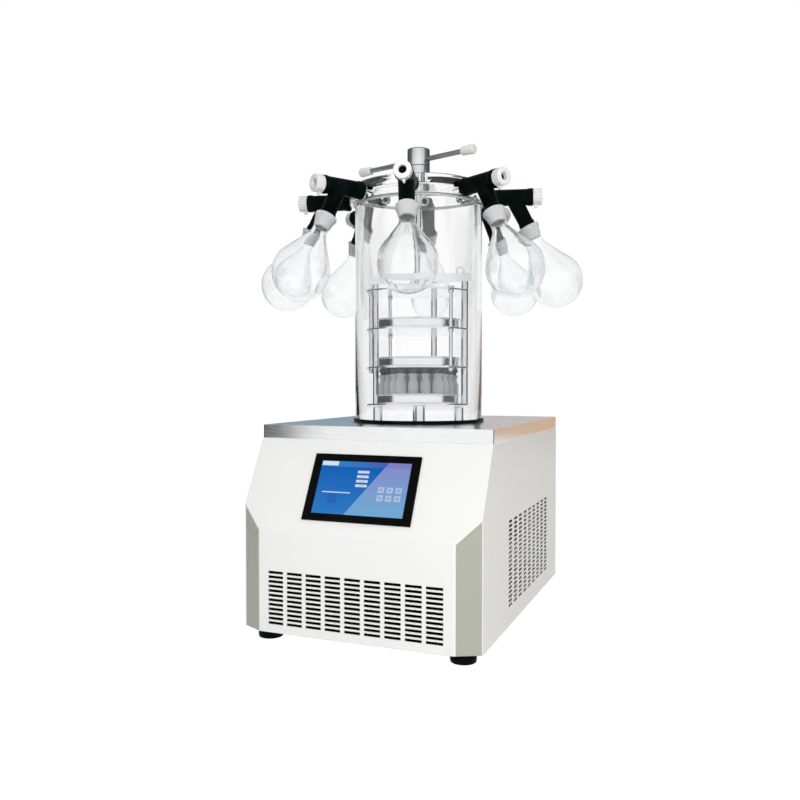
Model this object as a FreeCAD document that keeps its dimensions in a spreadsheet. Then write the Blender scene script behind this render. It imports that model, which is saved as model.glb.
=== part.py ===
import FreeCAD, Part

import math
import os
import re

import Sketcher

# Benchtop freeze dryer with a clear drying chamber, eight flask ports and a press for the vial stoppers.
# The frame: origin on the chamber axis at floor level, +Z up, -Y toward the operator, +X to the right.
# Millimetres and degrees.

SIZES = {
    # worktop plate, a folded tray of stainless sheet
    "plate_width": 450,
    "plate_depth": 545,
    "plate_front": 238.5,  # chamber axis behind the plate's front edge
    "plate_thick": 25,
    "plate_sheet": 2,
    "plate_corner": 4,
    # painted shell under the plate
    "shell_height": 340,
    "panel_sheet": 2,
    "front_overhang": 84,  # lower front stands this far before the plate
    "face_tilt": 28,  # slanted face, from upright
    "corner_wide": 43,  # corner panel, across
    "corner_deep": 22,  # corner panel, front to back
    "corner_flange": 14,
    "tray_flange": 10,
    "foot_height": 21,
    "foot_radius": 23,
    "foot_inset": 40,
    # slots of the front grille
    "grille_columns": 9,
    "grille_rows": 12,
    "grille_pitch": 37.3,
    "grille_rise": 8.2,
    "grille_slot": 30,
    "grille_slot_high": 4.8,
    "grille_base": 15,
    # slots of the side vents
    "vent_columns": 9,
    "vent_rows": 20,
    "vent_pitch": 38.7,
    "vent_rise": 8.1,
    "vent_slot": 28.5,
    "vent_slot_high": 5,
    "vent_base": 34,
    "vent_centre": 39,
    # touch screen in the slanted face
    "screen_width": 205,
    "screen_height": 126,
    "screen_down": 29,  # from the plate down the slope
    "screen_border": 14,
    "screen_proud": 3,
    "screen_case_depth": 24,
    "screen_case_margin": 7,
    "glass_thick": 1.6,
    "glass_recess": 0.4,
    # cold trap in the plate's well
    "trap_radius": 105,
    "trap_depth": 160,
    "trap_wall": 1.5,
    "trap_flange": 16,
    "jacket_thick": 24,
    "vapour_pipe_radius": 13,
    "vapour_pipe_wall": 1.5,
    "vapour_pipe_down": 52,
    "vacuum_flange_radius": 20,
    "vacuum_flange_thick": 3,
    "vacuum_reach": 15,
    "drain_radius": 6,
    "drain_wall": 1,
    "drain_height": 41,
    "drain_forward": 60,
    "drain_bend": 24,
    "valve_long": 44,
    "valve_radius": 12,
    "lever_long": 46,
    # refrigeration
    "compressor_radius": 70,
    "compressor_height": 158,
    "compressor_dome": 26,
    "compressor_left": 118,
    "compressor_back": 214,
    "condenser_width": 330,
    "condenser_high": 150,
    "condenser_deep": 26,
    "fin_count": 40,
    "fin_gap": 6,
    "fin_depth": 9,
    "fan_radius": 60,
    "fan_depth": 16,
    "shroud_thick": 3,
    "blade_count": 5,
    "hub_radius": 20,
    "motor_radius": 24,
    "motor_long": 40,
    # rear services
    "inlet_width": 52,
    "inlet_height": 74,
    "inlet_across": 120,
    "inlet_up": 70,
    "rocker_width": 18,
    "rocker_height": 25,
    # drying chamber
    "chamber_radius": 130,
    "chamber_wall": 10,
    "chamber_height": 433,
    "gasket_lip": 4,
    "gasket_thick": 3,
    "lid_gasket_thick": 4,
    "lid_gasket_wide": 7,
    "lid_lip": 4,
    "lid_thick": 37,
    "lid_roof": 14,
    "lid_rim": 24,
    # eight ports, each a valve with a flask
    "port_count": 8,
    "port_first": 14,  # first port, turned from the front toward the right
    "port_up": 13,  # port axis above the lid's underside
    "front_roll": 4.6,  # front tee, rolled about its port
    "stub_radius": 10,
    "stub_bore": 6,
    "stub_start": 114,
    "stub_end": 172,
    "valve_start": 142,
    "valve_end": 232,
    "valve_tube_radius": 17.5,
    "plug_radius": 12,
    "plug_start": 177,
    "plug_bore": 7,
    "plug_side": 6,
    "knob_radius": 16.5,
    "knob_long": 18,
    "knob_recess_radius": 7.5,
    "knob_recess": 10,
    "knob_tab": 6,
    "arm_root": 192,
    "arm_tilt": 27,
    "arm_radius": 16,
    "arm_bore": 8,
    "arm_length": 66,
    "adapter_tube": 9.5,
    "adapter_bore": 6.5,
    "adapter_grip": 22,  # adapter's tube inside the arm
    "adapter_wall": 2,
    "adapter_cone": 26,
    "flask_bulb": 54,
    "flask_wall": 2.2,
    "flask_neck": 14.5,
    "flask_neck_long": 10,
    "flask_slope": 60,  # bulb's rim angle from the flask axis
    "flask_collar": 21.5,
    "flask_collar_long": 30,
    "flask_bead": 5,
    # rack in the chamber
    "baffle_radius": 115,
    "baffle_thick": 2,
    "baffle_centre_hole": 32,
    "baffle_hole": 17,
    "baffle_hole_ring": 68,
    "rack_foot_height": 35.5,
    "rack_foot_radius": 10,
    "rack_foot_ring": 84,
    "rack_radius": 107,
    "rack_plate": 3,
    "post_ring": 98,
    "post_radius": 6.5,
    "yoke_rise": 259,  # rack base to the yoke's top
    "yoke_high": 16,
    "yoke_wide": 18,
    "ring_radius": 7,
    "ring_wire": 1.7,
    "ring_sunk": 1,
    "ring_inset": 5,  # rings inside the posts
    "ring_back": 7,  # rings behind the yoke's middle line
    "shelf_pitch": 75.5,
    "shelf_count": 3,
    "rod_radius": 3.5,
    "rod_nut_radius": 6,
    "rod_nut_high": 5,
    "rod_angle": 30,
    "tray_radius": 89,
    "tray_high": 20,
    "tray_wall": 1.5,
    # vials and their stoppers
    "vial_radius": 11,
    "vial_height": 58,
    "vial_wall": 1.2,
    "vial_neck": 8,
    "vial_lip": 10,
    "vial_lip_high": 4,
    "vial_neck_high": 8,
    "vial_shoulder": 6,
    "vial_pitch": 24,
    "vial_turn": 22,
    "vial_rings": 3,
    "stopper_flange": 9.5,
    "stopper_flange_high": 3.5,
    "stopper_leg_high": 10,
    "stopper_lift": 6,  # gap that the press closes
    # press on the lid
    "post_outer": 23,
    "gland_height": 44,
    "hub_height": 35,
    "hub_spigot": 14,
    "hub_spigot_long": 35,
    "press_rod": 6,
    "press_foot": 14,
    "press_foot_high": 5,
    "gland_spigot": 12,
    "bar_radius": 5,
    "bar_half": 147.5,
    "bar_slide": -10,  # bar pushed to the left through the hub
    "bar_up": 13,  # bar above the hub's seam
    "bar_turn": -17,
    "cap_radius": 9.5,
    "cap_long": 29,
    "cap_end": 5,
    # fits
    "running": 0.08,
    "sliding": 0.3,
    "seat": 0.2,
    "thread_room": 0.1,
}

# Lengths that follow from the sizes.
LENGTHS = {
    "plate_half": "plate_width / 2",
    "plate_bottom": "foot_height + shell_height",
    "plate_top": "plate_bottom + plate_thick",
    "plate_back": "plate_depth - plate_front",
    "front_face": "-plate_front - front_overhang",
    "knee_height": "plate_bottom - front_overhang / tan(face_tilt)",
    "slope_sheet": "panel_sheet / cos(face_tilt)",
    "inner_knee": "knee_height + (panel_sheet - slope_sheet) / tan(face_tilt)",
    "knee_half": "plate_half - corner_wide",
    "corner_slope": "corner_deep / corner_wide",
    "corner_sheet": "panel_sheet * sqrt(1 + corner_slope ^ 2)",
    "corner_back": "front_face + corner_deep",
    "corner_knee": "knee_height + corner_deep / tan(face_tilt)",
    "inner_half": "plate_half - panel_sheet",
    "inner_back": "plate_back - panel_sheet",
    "tray_top": "foot_height + panel_sheet",
    "chamber_base": "plate_top + gasket_thick",
    "chamber_top": "chamber_base + chamber_height",
    "lid_base": "chamber_top + lid_gasket_thick",
    "lid_top": "lid_base + lid_thick",
    "chamber_bore": "chamber_radius - chamber_wall",
    "lid_radius": "chamber_radius + lid_lip",
    "port_height": "lid_base + port_up",
    "trap_outer": "trap_radius + trap_wall",
    "trap_top": "plate_top - plate_sheet",
    "trap_floor": "trap_top - trap_depth",
    "jacket_radius": "trap_outer + jacket_thick",
    "vapour_height": "trap_top - vapour_pipe_down",
    "rack_base_low": "plate_top + baffle_thick + rack_foot_height",
    "rack_floor": "rack_base_low + rack_plate",
    "yoke_top": "rack_base_low + yoke_rise",
    "yoke_low": "yoke_top - yoke_high",
    "vial_floor": "rack_floor + tray_wall",
    "vial_top": "vial_floor + vial_height",
    "stopper_top": "vial_top + stopper_lift + stopper_flange_high",
    "shelf_low": "stopper_top + sliding",
    "shelf_top_low": "shelf_low + shelf_pitch * (shelf_count - 1)",
    "shelf_top_face": "shelf_top_low + rack_plate",
    "vial_bore": "vial_neck - vial_wall",
    "gland_top": "lid_top + gland_height",
    "hub_base": "gland_top + sliding",
    "hub_top": "hub_base + hub_height",
    "bar_height": "hub_base + bar_up",
    "flask_tip": "flask_collar_long + flask_neck_long",
    "flask_throat": "flask_neck - flask_wall",
    "flask_inside": "flask_bulb - flask_wall",
    "flask_drop": "flask_bulb * cos(flask_slope) + (flask_bulb * sin(flask_slope) - flask_neck) * tan(flask_slope)",
    "flask_centre": "-flask_tip - flask_drop",
    "flask_mouth": "arm_length + seat",
    "collar_bore": "flask_collar - flask_wall - 0.8",
    "collar_taper": "(collar_bore - flask_throat) / flask_collar_long",
    "throat_rise": "flask_inside * cos(flask_slope)"
    " + (flask_inside * sin(flask_slope) - flask_throat) * tan(flask_slope)",
    "glass_width": "screen_width - 2 * screen_border + 2",
    "glass_height": "screen_height - 2 * screen_border + 2",
}

UPRIGHT = "rotation(0; 0; 0)"
ALONG_X = "rotation(vector(0; 1; 0); 90)"
ALONG_MINUS_X = "rotation(vector(0; 1; 0); -90)"
ALONG_Y = "rotation(vector(1; 0; 0); -90)"
OUTWARD = "rotation(vector(1; 0; 0); 90)"
ARM_FRAME = "placement(vector(0; -arm_root; 0); rotation(vector(1; 0; 0); -arm_tilt))"
SLOPE_FRAME = "placement(vector(0; -plate_front; plate_bottom); rotation(vector(1; 0; 0); 90 - face_tilt))"

doc = FreeCAD.newDocument("freeze_dryer")
sheet = doc.addObject("Spreadsheet::Sheet", "sizes")
parts = {}


def fill_sheet():
    """One row for each size: its word and its plain number."""
    for row, (word, number) in enumerate(SIZES.items(), 1):
        sheet.set(f"A{row}", word)
        sheet.set(f"B{row}", str(number))
        sheet.setAlias(f"B{row}", word)
    doc.recompute()


def formula(text):
    """The expression with sizes read from the sheet and worked-out lengths written in full."""

    def expand(match):
        word = match.group(0)
        if word in SIZES:
            return "sizes." + word
        if word in LENGTHS:
            return "(" + formula(LENGTHS[word]) + ")"
        return word

    return re.sub(r"[a-z][a-z0-9_]*", expand, str(text))


def value(text):
    return float(sheet.evalExpression(formula(text)))


def bind(item, **texts):
    for name, text in texts.items():
        item.setExpression(name, formula(text))


def place(item, x="0", y="0", z="0", turn=UPRIGHT, frame=None):
    spot = f"placement(vector({x}; {y}; {z}); {turn})"
    if frame:
        spot = f"{frame} * {spot}"
    item.setExpression("Placement", formula(spot))
    return item


def keep(name, item):
    """The item becomes the sub-part of that name."""
    item.Label = name
    parts[name] = item
    return item


# Primitives and booleans


def cylinder(name, radius, height, x="0", y="0", z="0", turn=UPRIGHT, frame=None):
    item = doc.addObject("Part::Cylinder", name)
    bind(item, Radius=radius, Height=height)
    return place(item, x, y, z, turn, frame)


def cone(name, low_radius, top_radius, height, x="0", y="0", z="0", turn=UPRIGHT, frame=None):
    item = doc.addObject("Part::Cone", name)
    bind(item, Radius1=low_radius, Radius2=top_radius, Height=height)
    return place(item, x, y, z, turn, frame)


def block(name, long, deep, high, x="0", y="0", z="0", turn=UPRIGHT, frame=None):
    """A box centred on x and y that stands on z."""
    item = doc.addObject("Part::Box", name)
    bind(item, Length=long, Width=deep, Height=high)
    centre = f"placement(vector({x}; {y}; {z}); {turn})"
    if frame:
        centre = f"{frame} * {centre}"
    return place(item, f"-({long}) / 2", f"-({deep}) / 2", "0", frame=centre)


def torus(name, ring_radius, wire_radius, x="0", y="0", z="0", turn=UPRIGHT):
    item = doc.addObject("Part::Torus", name)
    bind(item, Radius1=ring_radius, Radius2=wire_radius)
    return place(item, x, y, z, turn)


def fuse(name, *pieces):
    item = doc.addObject("Part::MultiFuse", name)
    item.Shapes = list(pieces)
    return item


def cut(name, base, *tools):
    item = doc.addObject("Part::Cut", name)
    item.Base = base
    item.Tool = tools[0] if len(tools) == 1 else fuse(name + "_tools", *tools)
    return item


def group(name, shapes):
    """Separate solids of one kind in one sub-part."""
    item = doc.addObject("Part::Feature", name)
    item.Shape = Part.makeCompound(shapes)
    return keep(name, item)


def turned_copies(item, count, first="0"):
    """The item's shape turned about the chamber axis."""
    doc.recompute()
    whole = int(value(count))
    axis = FreeCAD.Vector(0, 0, 1)
    start = value(first)
    return [item.Shape.rotated(FreeCAD.Vector(), axis, start + 360 * k / whole) for k in range(whole)]


# Bodies from sketches


def origin_plane(body, role):
    planes = [item for item in body.Origin.OriginFeatures if item.Role == role]
    return planes[0]


def arc_between(here, there, bend):
    """The arc of radius |bend| from here to there, anticlockwise where bend is positive."""
    across = there[0] - here[0]
    up = there[1] - here[1]
    chord = math.hypot(across, up)
    sagitta_leg = math.sqrt(bend * bend - chord * chord / 4)
    side = 1 if bend > 0 else -1
    centre_across = (here[0] + there[0]) / 2 - side * up / chord * sagitta_leg
    centre_up = (here[1] + there[1]) / 2 + side * across / chord * sagitta_leg
    first, last = (here, there) if bend > 0 else (there, here)
    start = math.atan2(first[1] - centre_up, first[0] - centre_across)
    end = math.atan2(last[1] - centre_up, last[0] - centre_across)
    circle = Part.Circle(FreeCAD.Vector(centre_across, centre_up, 0), FreeCAD.Vector(0, 0, 1), abs(bend))
    return Part.ArcOfCircle(circle, start, end)


def blank_sketch(body, role, name, lift):
    sketch = body.newObject("Sketcher::SketchObject", name)
    sketch.AttachmentSupport = [(origin_plane(body, role), "")]
    sketch.MapMode = "FlatFace"
    sketch.setExpression("AttachmentOffset.Base.z", formula(lift))
    return sketch


def draw_edge(sketch, edge, corner, here, there):
    """One edge from here to there; gives the numbers of its first and last point."""
    if len(corner) == 2:
        line = Part.LineSegment(FreeCAD.Vector(*here, 0), FreeCAD.Vector(*there, 0))
        sketch.addGeometry(line, False)
        return 1, 2
    bend = value(corner[2])
    sketch.addGeometry(arc_between(here, there, bend), False)
    radius = sketch.addConstraint(Sketcher.Constraint("Radius", edge, abs(bend)))
    sketch.setExpression(f"Constraints[{radius}]", formula(f"abs({corner[2]})"))
    return (1, 2) if bend > 0 else (2, 1)


def fix_point(sketch, edge, end, corner, spot):
    """Hold one end of an edge at its across and up from the sketch's origin."""
    for kind, text, number in zip(("DistanceX", "DistanceY"), corner, spot):
        index = sketch.addConstraint(Sketcher.Constraint(kind, -1, 1, edge, end, number))
        sketch.setExpression(f"Constraints[{index}]", formula(text))


def sketch_on(body, role, name, corners, lift="0"):
    """A closed outline. A corner is (across, up), or (across, up, bend) where an arc leaves it."""
    sketch = blank_sketch(body, role, name, lift)
    spots = [(value(corner[0]), value(corner[1])) for corner in corners]
    count = len(corners)
    ends = [
        draw_edge(sketch, edge, corner, spots[edge], spots[(edge + 1) % count])
        for edge, corner in enumerate(corners)
    ]
    for edge in range(count):
        after = (edge + 1) % count
        joined = Sketcher.Constraint("Coincident", edge, ends[edge][1], after, ends[after][0])
        sketch.addConstraint(joined)
    for edge, corner in enumerate(corners):
        fix_point(sketch, edge, ends[edge][0], corner, spots[edge])
    return sketch


def path_on(body, role, name, corners, lift="0"):
    """An open path through the corners, with arcs as in an outline."""
    sketch = blank_sketch(body, role, name, lift)
    spots = [(value(corner[0]), value(corner[1])) for corner in corners]
    last = len(corners) - 1
    ends = [
        draw_edge(sketch, edge, corners[edge], spots[edge], spots[edge + 1]) for edge in range(last)
    ]
    for edge in range(last - 1):
        joined = Sketcher.Constraint("Coincident", edge, ends[edge][1], edge + 1, ends[edge + 1][0])
        sketch.addConstraint(joined)
    for edge in range(last):
        fix_point(sketch, edge, ends[edge][0], corners[edge], spots[edge])
    fix_point(sketch, last - 1, ends[last - 1][1], corners[last], spots[last])
    return sketch


def circles_on(body, role, name, centre, radii):
    """Circles about one centre."""
    sketch = blank_sketch(body, role, name, "0")
    spot = (value(centre[0]), value(centre[1]))
    for edge, radius in enumerate(radii):
        middle = FreeCAD.Vector(*spot, 0)
        circle = Part.Circle(middle, FreeCAD.Vector(0, 0, 1), value(radius))
        sketch.addGeometry(circle, False)
        fix_point(sketch, edge, 3, centre, spot)
        index = sketch.addConstraint(Sketcher.Constraint("Radius", edge, value(radius)))
        sketch.setExpression(f"Constraints[{index}]", formula(radius))
    return sketch


def new_body(name):
    return doc.addObject("PartDesign::Body", name)


def turned(name, corners):
    """A body turned about its own Z axis; its corners are (radius, height)."""
    body = new_body(name)
    profile = sketch_on(body, "XZ_Plane", name + "_profile", corners)
    turn = body.newObject("PartDesign::Revolution", name + "_turn")
    turn.Profile = profile
    turn.ReferenceAxis = (profile, ["V_Axis"])
    turn.Angle = 360
    return body


def pad(body, role, name, corners, length, lift="0", midplane=False):
    profile = sketch_on(body, role, name + "_outline", corners, lift)
    feature = body.newObject("PartDesign::Pad", name)
    feature.Profile = profile
    feature.Midplane = midplane
    bind(feature, Length=length)
    return feature


def pocket(body, role, name, corners):
    """A cut right through the body along the sketch's normal."""
    profile = sketch_on(body, role, name + "_outline", corners)
    feature = body.newObject("PartDesign::Pocket", name)
    feature.Profile = profile
    feature.Type = "ThroughAll"
    feature.Midplane = True
    return feature


def rectangle(left, low, width, height):
    return [
        (left, low),
        (f"{left} + {width}", low),
        (f"{left} + {width}", f"{low} + {height}"),
        (left, f"{low} + {height}"),
    ]


def slot_field(body, role, name, prefix, centre, low):
    """Rows and columns of level slots, cut from one slot that is repeated both ways."""
    left = f"{centre} - {prefix}_pitch * ({prefix}_columns - 1) / 2 - {prefix}_slot / 2"
    slot = pocket(body, role, name + "_slot", rectangle(left, low, f"{prefix}_slot", f"{prefix}_slot_high"))
    field = body.newObject("PartDesign::LinearPattern", name)
    field.Originals = [slot]
    field.Direction = (slot.Profile[0], ["H_Axis"])
    field.Mode = "Spacing"
    bind(field, Offset=f"{prefix}_pitch", Occurrences=f"{prefix}_columns")
    field.Direction2 = (slot.Profile[0], ["V_Axis"])
    field.Mode2 = "Spacing"
    field.Occurrences2 = int(value(f"{prefix}_rows"))
    field.Spacings2 = [-1.0] * (field.Occurrences2 - 1)
    bind(field, Offset2=f"{prefix}_rise", Occurrences2=f"{prefix}_rows")
    body.Tip = field
    return field


# Shell


def top_plate():
    """A tray of sheet turned upside down, with the cold trap's mouth in it."""
    body = new_body("top_plate_body")
    outline = rectangle("-plate_half", "-plate_front", "plate_width", "plate_depth")
    slab = pad(body, "XY_Plane", "plate_slab", outline, "plate_thick", "plate_bottom")
    doc.recompute()
    upright = [
        f"Edge{number}"
        for number, edge in enumerate(slab.Shape.Edges, 1)
        if edge.BoundBox.ZLength > value("plate_thick") / 2
    ]
    rounds = body.newObject("PartDesign::Fillet", "plate_corners")
    rounds.Base = (slab, upright)
    bind(rounds, Radius="plate_corner")
    room = block(
        "plate_room",
        "plate_width - 2 * plate_sheet",
        "plate_depth - 2 * plate_sheet",
        "plate_thick",
        y="plate_back - plate_depth / 2",
        z="plate_bottom - plate_sheet",
    )
    mouth = cylinder("plate_mouth", "trap_radius", "plate_thick", z="plate_bottom + plate_sheet")
    keep("top_plate", cut("top_plate_cut", body, room, mouth))


def front_panel():
    """One sheet folded at the knee: an upright grille below, the slanted face above."""
    body = new_body("front_panel_body")
    fold = [
        ("front_face", "foot_height"),
        ("front_face + panel_sheet", "foot_height"),
        ("front_face + panel_sheet", "inner_knee"),
        ("-plate_front + slope_sheet", "plate_bottom"),
        ("-plate_front", "plate_bottom"),
        ("front_face", "knee_height"),
    ]
    pad(body, "YZ_Plane", "folded_sheet", fold, "plate_width", midplane=True)
    for side, name in (("-1", "left_trim"), ("1", "right_trim")):
        trim = [
            (f"{side} * knee_half", "front_face"),
            (f"{side} * plate_half", "corner_back"),
            (f"{side} * (plate_half + 5)", "corner_back"),
            (f"{side} * (plate_half + 5)", "front_face - 5"),
            (f"{side} * knee_half", "front_face - 5"),
        ]
        pocket(body, "XY_Plane", name, trim)
    slot_field(body, "XZ_Plane", "grille", "grille", "0", "foot_height + grille_base")
    window = block(
        "screen_window",
        "screen_width - 2 * screen_case_margin + 2 * seat",
        "screen_height - 2 * screen_case_margin + 2 * seat",
        "20",
        y="-screen_down - screen_height / 2",
        z="-10",
        frame=SLOPE_FRAME,
    )
    keep("front_panel", cut("front_panel_cut", body, window))


def corner_panels():
    """A folded strip behind each front corner, with a flange on the front and one on the side."""
    strips = []
    for side, name in (("-1", "corner_left"), ("1", "corner_right")):
        body = new_body(name)
        run = "(inner_half - knee_half) * corner_slope"
        inner_run = "(inner_half - panel_sheet - knee_half) * corner_slope + corner_sheet"
        plan = [
            (f"{side} * (knee_half - corner_flange)", "front_face + panel_sheet"),
            (f"{side} * (knee_half + panel_sheet / corner_slope)", "front_face + panel_sheet"),
            (f"{side} * inner_half", f"front_face + {run}"),
            (f"{side} * inner_half", f"front_face + {run} + corner_flange"),
            (f"{side} * (inner_half - panel_sheet)", f"front_face + {run} + corner_flange"),
            (f"{side} * (inner_half - panel_sheet)", f"front_face + {inner_run}"),
            (
                f"{side} * (knee_half + (2 * panel_sheet - corner_sheet) / corner_slope)",
                "front_face + 2 * panel_sheet",
            ),
            (f"{side} * (knee_half - corner_flange)", "front_face + 2 * panel_sheet"),
        ]
        pad(body, "XY_Plane", name + "_strip", plan, "shell_height", "foot_height")
        above = [
            ("front_face + panel_sheet", "inner_knee"),
            ("-plate_front + slope_sheet", "plate_bottom"),
            ("-plate_front + slope_sheet", "plate_bottom + 5"),
            ("front_face - 5", "plate_bottom + 5"),
            ("front_face - 5", "inner_knee"),
        ]
        pocket(body, "YZ_Plane", name + "_top", above)
        strips.append(body)
    doc.recompute()
    group("corner_panels", [strip.Shape for strip in strips])


def side_panel(name, side):
    """A flat side sheet with its field of vent slots."""
    body = new_body(name)
    outline = [
        ("corner_back", "foot_height"),
        ("inner_back", "foot_height"),
        ("inner_back", "plate_bottom"),
        ("-plate_front + slope_sheet", "plate_bottom"),
        ("corner_back", "corner_knee - slope_sheet / tan(face_tilt)"),
    ]
    lift = "inner_half" if side > 0 else "-plate_half"
    pad(body, "YZ_Plane", name + "_sheet", outline, "panel_sheet", lift)
    slot_field(body, "YZ_Plane", name + "_vents", "vent", "vent_centre", "foot_height + vent_base")
    return body


def side_panels():
    keep("side_panel_right", side_panel("side_panel_right", 1))
    left = side_panel("side_panel_left_body", -1)
    drain_hole = cylinder(
        "drain_hole",
        "drain_radius + drain_wall + 2",
        "4 * panel_sheet",
        x="-plate_half - panel_sheet",
        y="-drain_forward",
        z="drain_height",
        turn=ALONG_X,
    )
    keep("side_panel_left", cut("side_panel_left_cut", left, drain_hole))


def rear_panel():
    sheet_back = block(
        "rear_sheet",
        "plate_width",
        "panel_sheet",
        "shell_height",
        y="plate_back - panel_sheet / 2",
        z="foot_height",
    )
    pipe_hole = cylinder(
        "vacuum_hole",
        "vapour_pipe_radius + sliding",
        "4 * panel_sheet",
        y="inner_back - panel_sheet",
        z="vapour_height",
        turn=ALONG_Y,
    )
    inlet_hole = block(
        "inlet_hole",
        "inlet_width - 8 + 2 * seat",
        "4 * panel_sheet",
        "inlet_height - 8 + 2 * seat",
        x="inlet_across",
        y="plate_back",
        z="foot_height + inlet_up + 4 - seat",
    )
    keep("rear_panel", cut("rear_panel_cut", sheet_back, pipe_hole, inlet_hole))


def base_tray():
    """The floor pan, folded up all round, that carries the refrigeration."""
    front = "front_face + 2 * panel_sheet"
    half = "(plate_half - 2 * panel_sheet)"
    corner = "(corner_deep + corner_sheet)"
    body = new_body("base_tray")
    for name, inset, height in (("tray_outer", "0", "tray_flange"), ("tray_inner", "panel_sheet", None)):
        plan = [
            (f"-(knee_half - {inset})", f"{front} + {inset}"),
            (f"knee_half - {inset}", f"{front} + {inset}"),
            (f"{half} - {inset}", f"front_face + {corner} + panel_sheet + {inset}"),
            (f"{half} - {inset}", f"inner_back - {inset}"),
            (f"-({half} - {inset})", f"inner_back - {inset}"),
            (f"-({half} - {inset})", f"front_face + {corner} + panel_sheet + {inset}"),
        ]
        if height:
            pad(body, "XY_Plane", name, plan, height, "foot_height")
            continue
        profile = sketch_on(body, "XY_Plane", name + "_outline", plan, "tray_top")
        room = body.newObject("PartDesign::Pocket", name)
        room.Profile = profile
        room.Reversed = True
        bind(room, Length="tray_flange")
    keep("base_tray", body)


def feet():
    profile = [
        ("0", "0"),
        ("foot_radius - 3", "0"),
        ("foot_radius", "3"),
        ("foot_radius - 2", "foot_height"),
        ("0", "foot_height"),
    ]
    foot = turned("foot_master", profile)
    doc.recompute()
    across = value("plate_half - foot_inset")
    front = value("front_face + foot_inset + 4")
    back = value("plate_back - foot_inset")
    spots = [(x, y) for x in (-across, across) for y in (front, back)]
    group("feet", [foot.Shape.translated(FreeCAD.Vector(x, y, 0)) for x, y in spots])


# Touch screen


def touch_screen():
    """A moulded case with a raised frame, and the glass pane that sits in it."""
    middle = "-screen_down - screen_height / 2"
    frame = block(
        "screen_frame", "screen_width", "screen_height", "screen_proud", y=middle, frame=SLOPE_FRAME
    )
    case = block(
        "screen_case",
        "screen_width - 2 * screen_case_margin",
        "screen_height - 2 * screen_case_margin",
        "screen_case_depth",
        y=middle,
        z="-screen_case_depth",
        frame=SLOPE_FRAME,
    )
    bed = "screen_proud - glass_recess - glass_thick"
    seat = block(
        "glass_seat",
        "glass_width + 2 * seat",
        "glass_height + 2 * seat",
        "screen_proud",
        y=middle,
        z=bed,
        frame=SLOPE_FRAME,
    )
    keep("screen_bezel", cut("screen_bezel_cut", fuse("screen_moulding", frame, case), seat))
    pane = block(
        "screen_pane", "glass_width", "glass_height", "glass_thick", y=middle, z=bed, frame=SLOPE_FRAME
    )
    keep("screen_glass", pane)


# Cold trap and its pipes


def vapour_pipe():
    """The pipe welded into the trap's wall, out through the rear panel, ended by a small clamp flange."""
    face = "(plate_back + vacuum_reach)"
    taper = "vacuum_flange_radius - vapour_pipe_radius"
    pipe = turned(
        "vapour_pipe",
        [
            ("vapour_pipe_radius - vapour_pipe_wall", "trap_radius - 0.5"),
            ("vapour_pipe_radius", "trap_radius - 0.5"),
            ("vapour_pipe_radius", f"{face} - vacuum_flange_thick - ({taper}) * 0.27"),
            ("vacuum_flange_radius", f"{face} - vacuum_flange_thick"),
            ("vacuum_flange_radius", face),
            ("vapour_pipe_radius - vapour_pipe_wall", face),
        ],
    )
    return place(pipe, z="vapour_height", turn=ALONG_Y)


def cold_trap():
    """A drawn well with a flange under the plate and a short vapour pipe at its back."""
    corner = "18"
    well = turned(
        "trap_well",
        [
            ("0", "trap_floor"),
            (f"trap_radius - {corner}", "trap_floor", corner),
            ("trap_radius", f"trap_floor + {corner}"),
            ("trap_radius", "trap_top"),
            ("trap_outer + trap_flange", "trap_top"),
            ("trap_outer + trap_flange", "trap_top - trap_wall"),
            ("trap_outer", "trap_top - trap_wall"),
            ("trap_outer", f"trap_floor + {corner}", f"-({corner} + trap_wall)"),
            (f"trap_radius - {corner}", "trap_floor - trap_wall"),
            ("0", "trap_floor - trap_wall"),
        ],
    )
    side_hole = cylinder(
        "trap_side_hole",
        "vapour_pipe_radius",
        "trap_outer + 10",
        z="vapour_height",
        turn=ALONG_Y,
    )
    drain_hole = cylinder(
        "trap_drain_hole",
        "drain_radius + drain_wall",
        "20",
        y="-drain_forward",
        z="trap_floor - 10",
    )
    drilled = cut("trap_drilled", well, side_hole, drain_hole)
    keep("cold_trap", fuse("cold_trap_fuse", drilled, vapour_pipe()))
    jacket = turned(
        "jacket_block",
        [
            ("0", "trap_floor - trap_wall - jacket_thick"),
            ("jacket_radius", "trap_floor - trap_wall - jacket_thick"),
            ("jacket_radius", "trap_top - trap_wall - sliding"),
            ("trap_outer + sliding", "trap_top - trap_wall - sliding"),
            ("trap_outer + sliding", "trap_floor - trap_wall - sliding"),
            ("0", "trap_floor - trap_wall - sliding"),
        ],
    )
    pipe_way = cylinder(
        "jacket_pipe_way",
        "vapour_pipe_radius + sliding",
        "jacket_radius + 10",
        z="vapour_height",
        turn=ALONG_Y,
    )
    drain_way = cylinder(
        "jacket_drain_way",
        "drain_radius + drain_wall + sliding",
        "2 * jacket_thick",
        y="-drain_forward",
        z="trap_floor - 1.5 * jacket_thick",
    )
    keep("trap_insulation", cut("trap_insulation_cut", jacket, pipe_way, drain_way))


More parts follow.
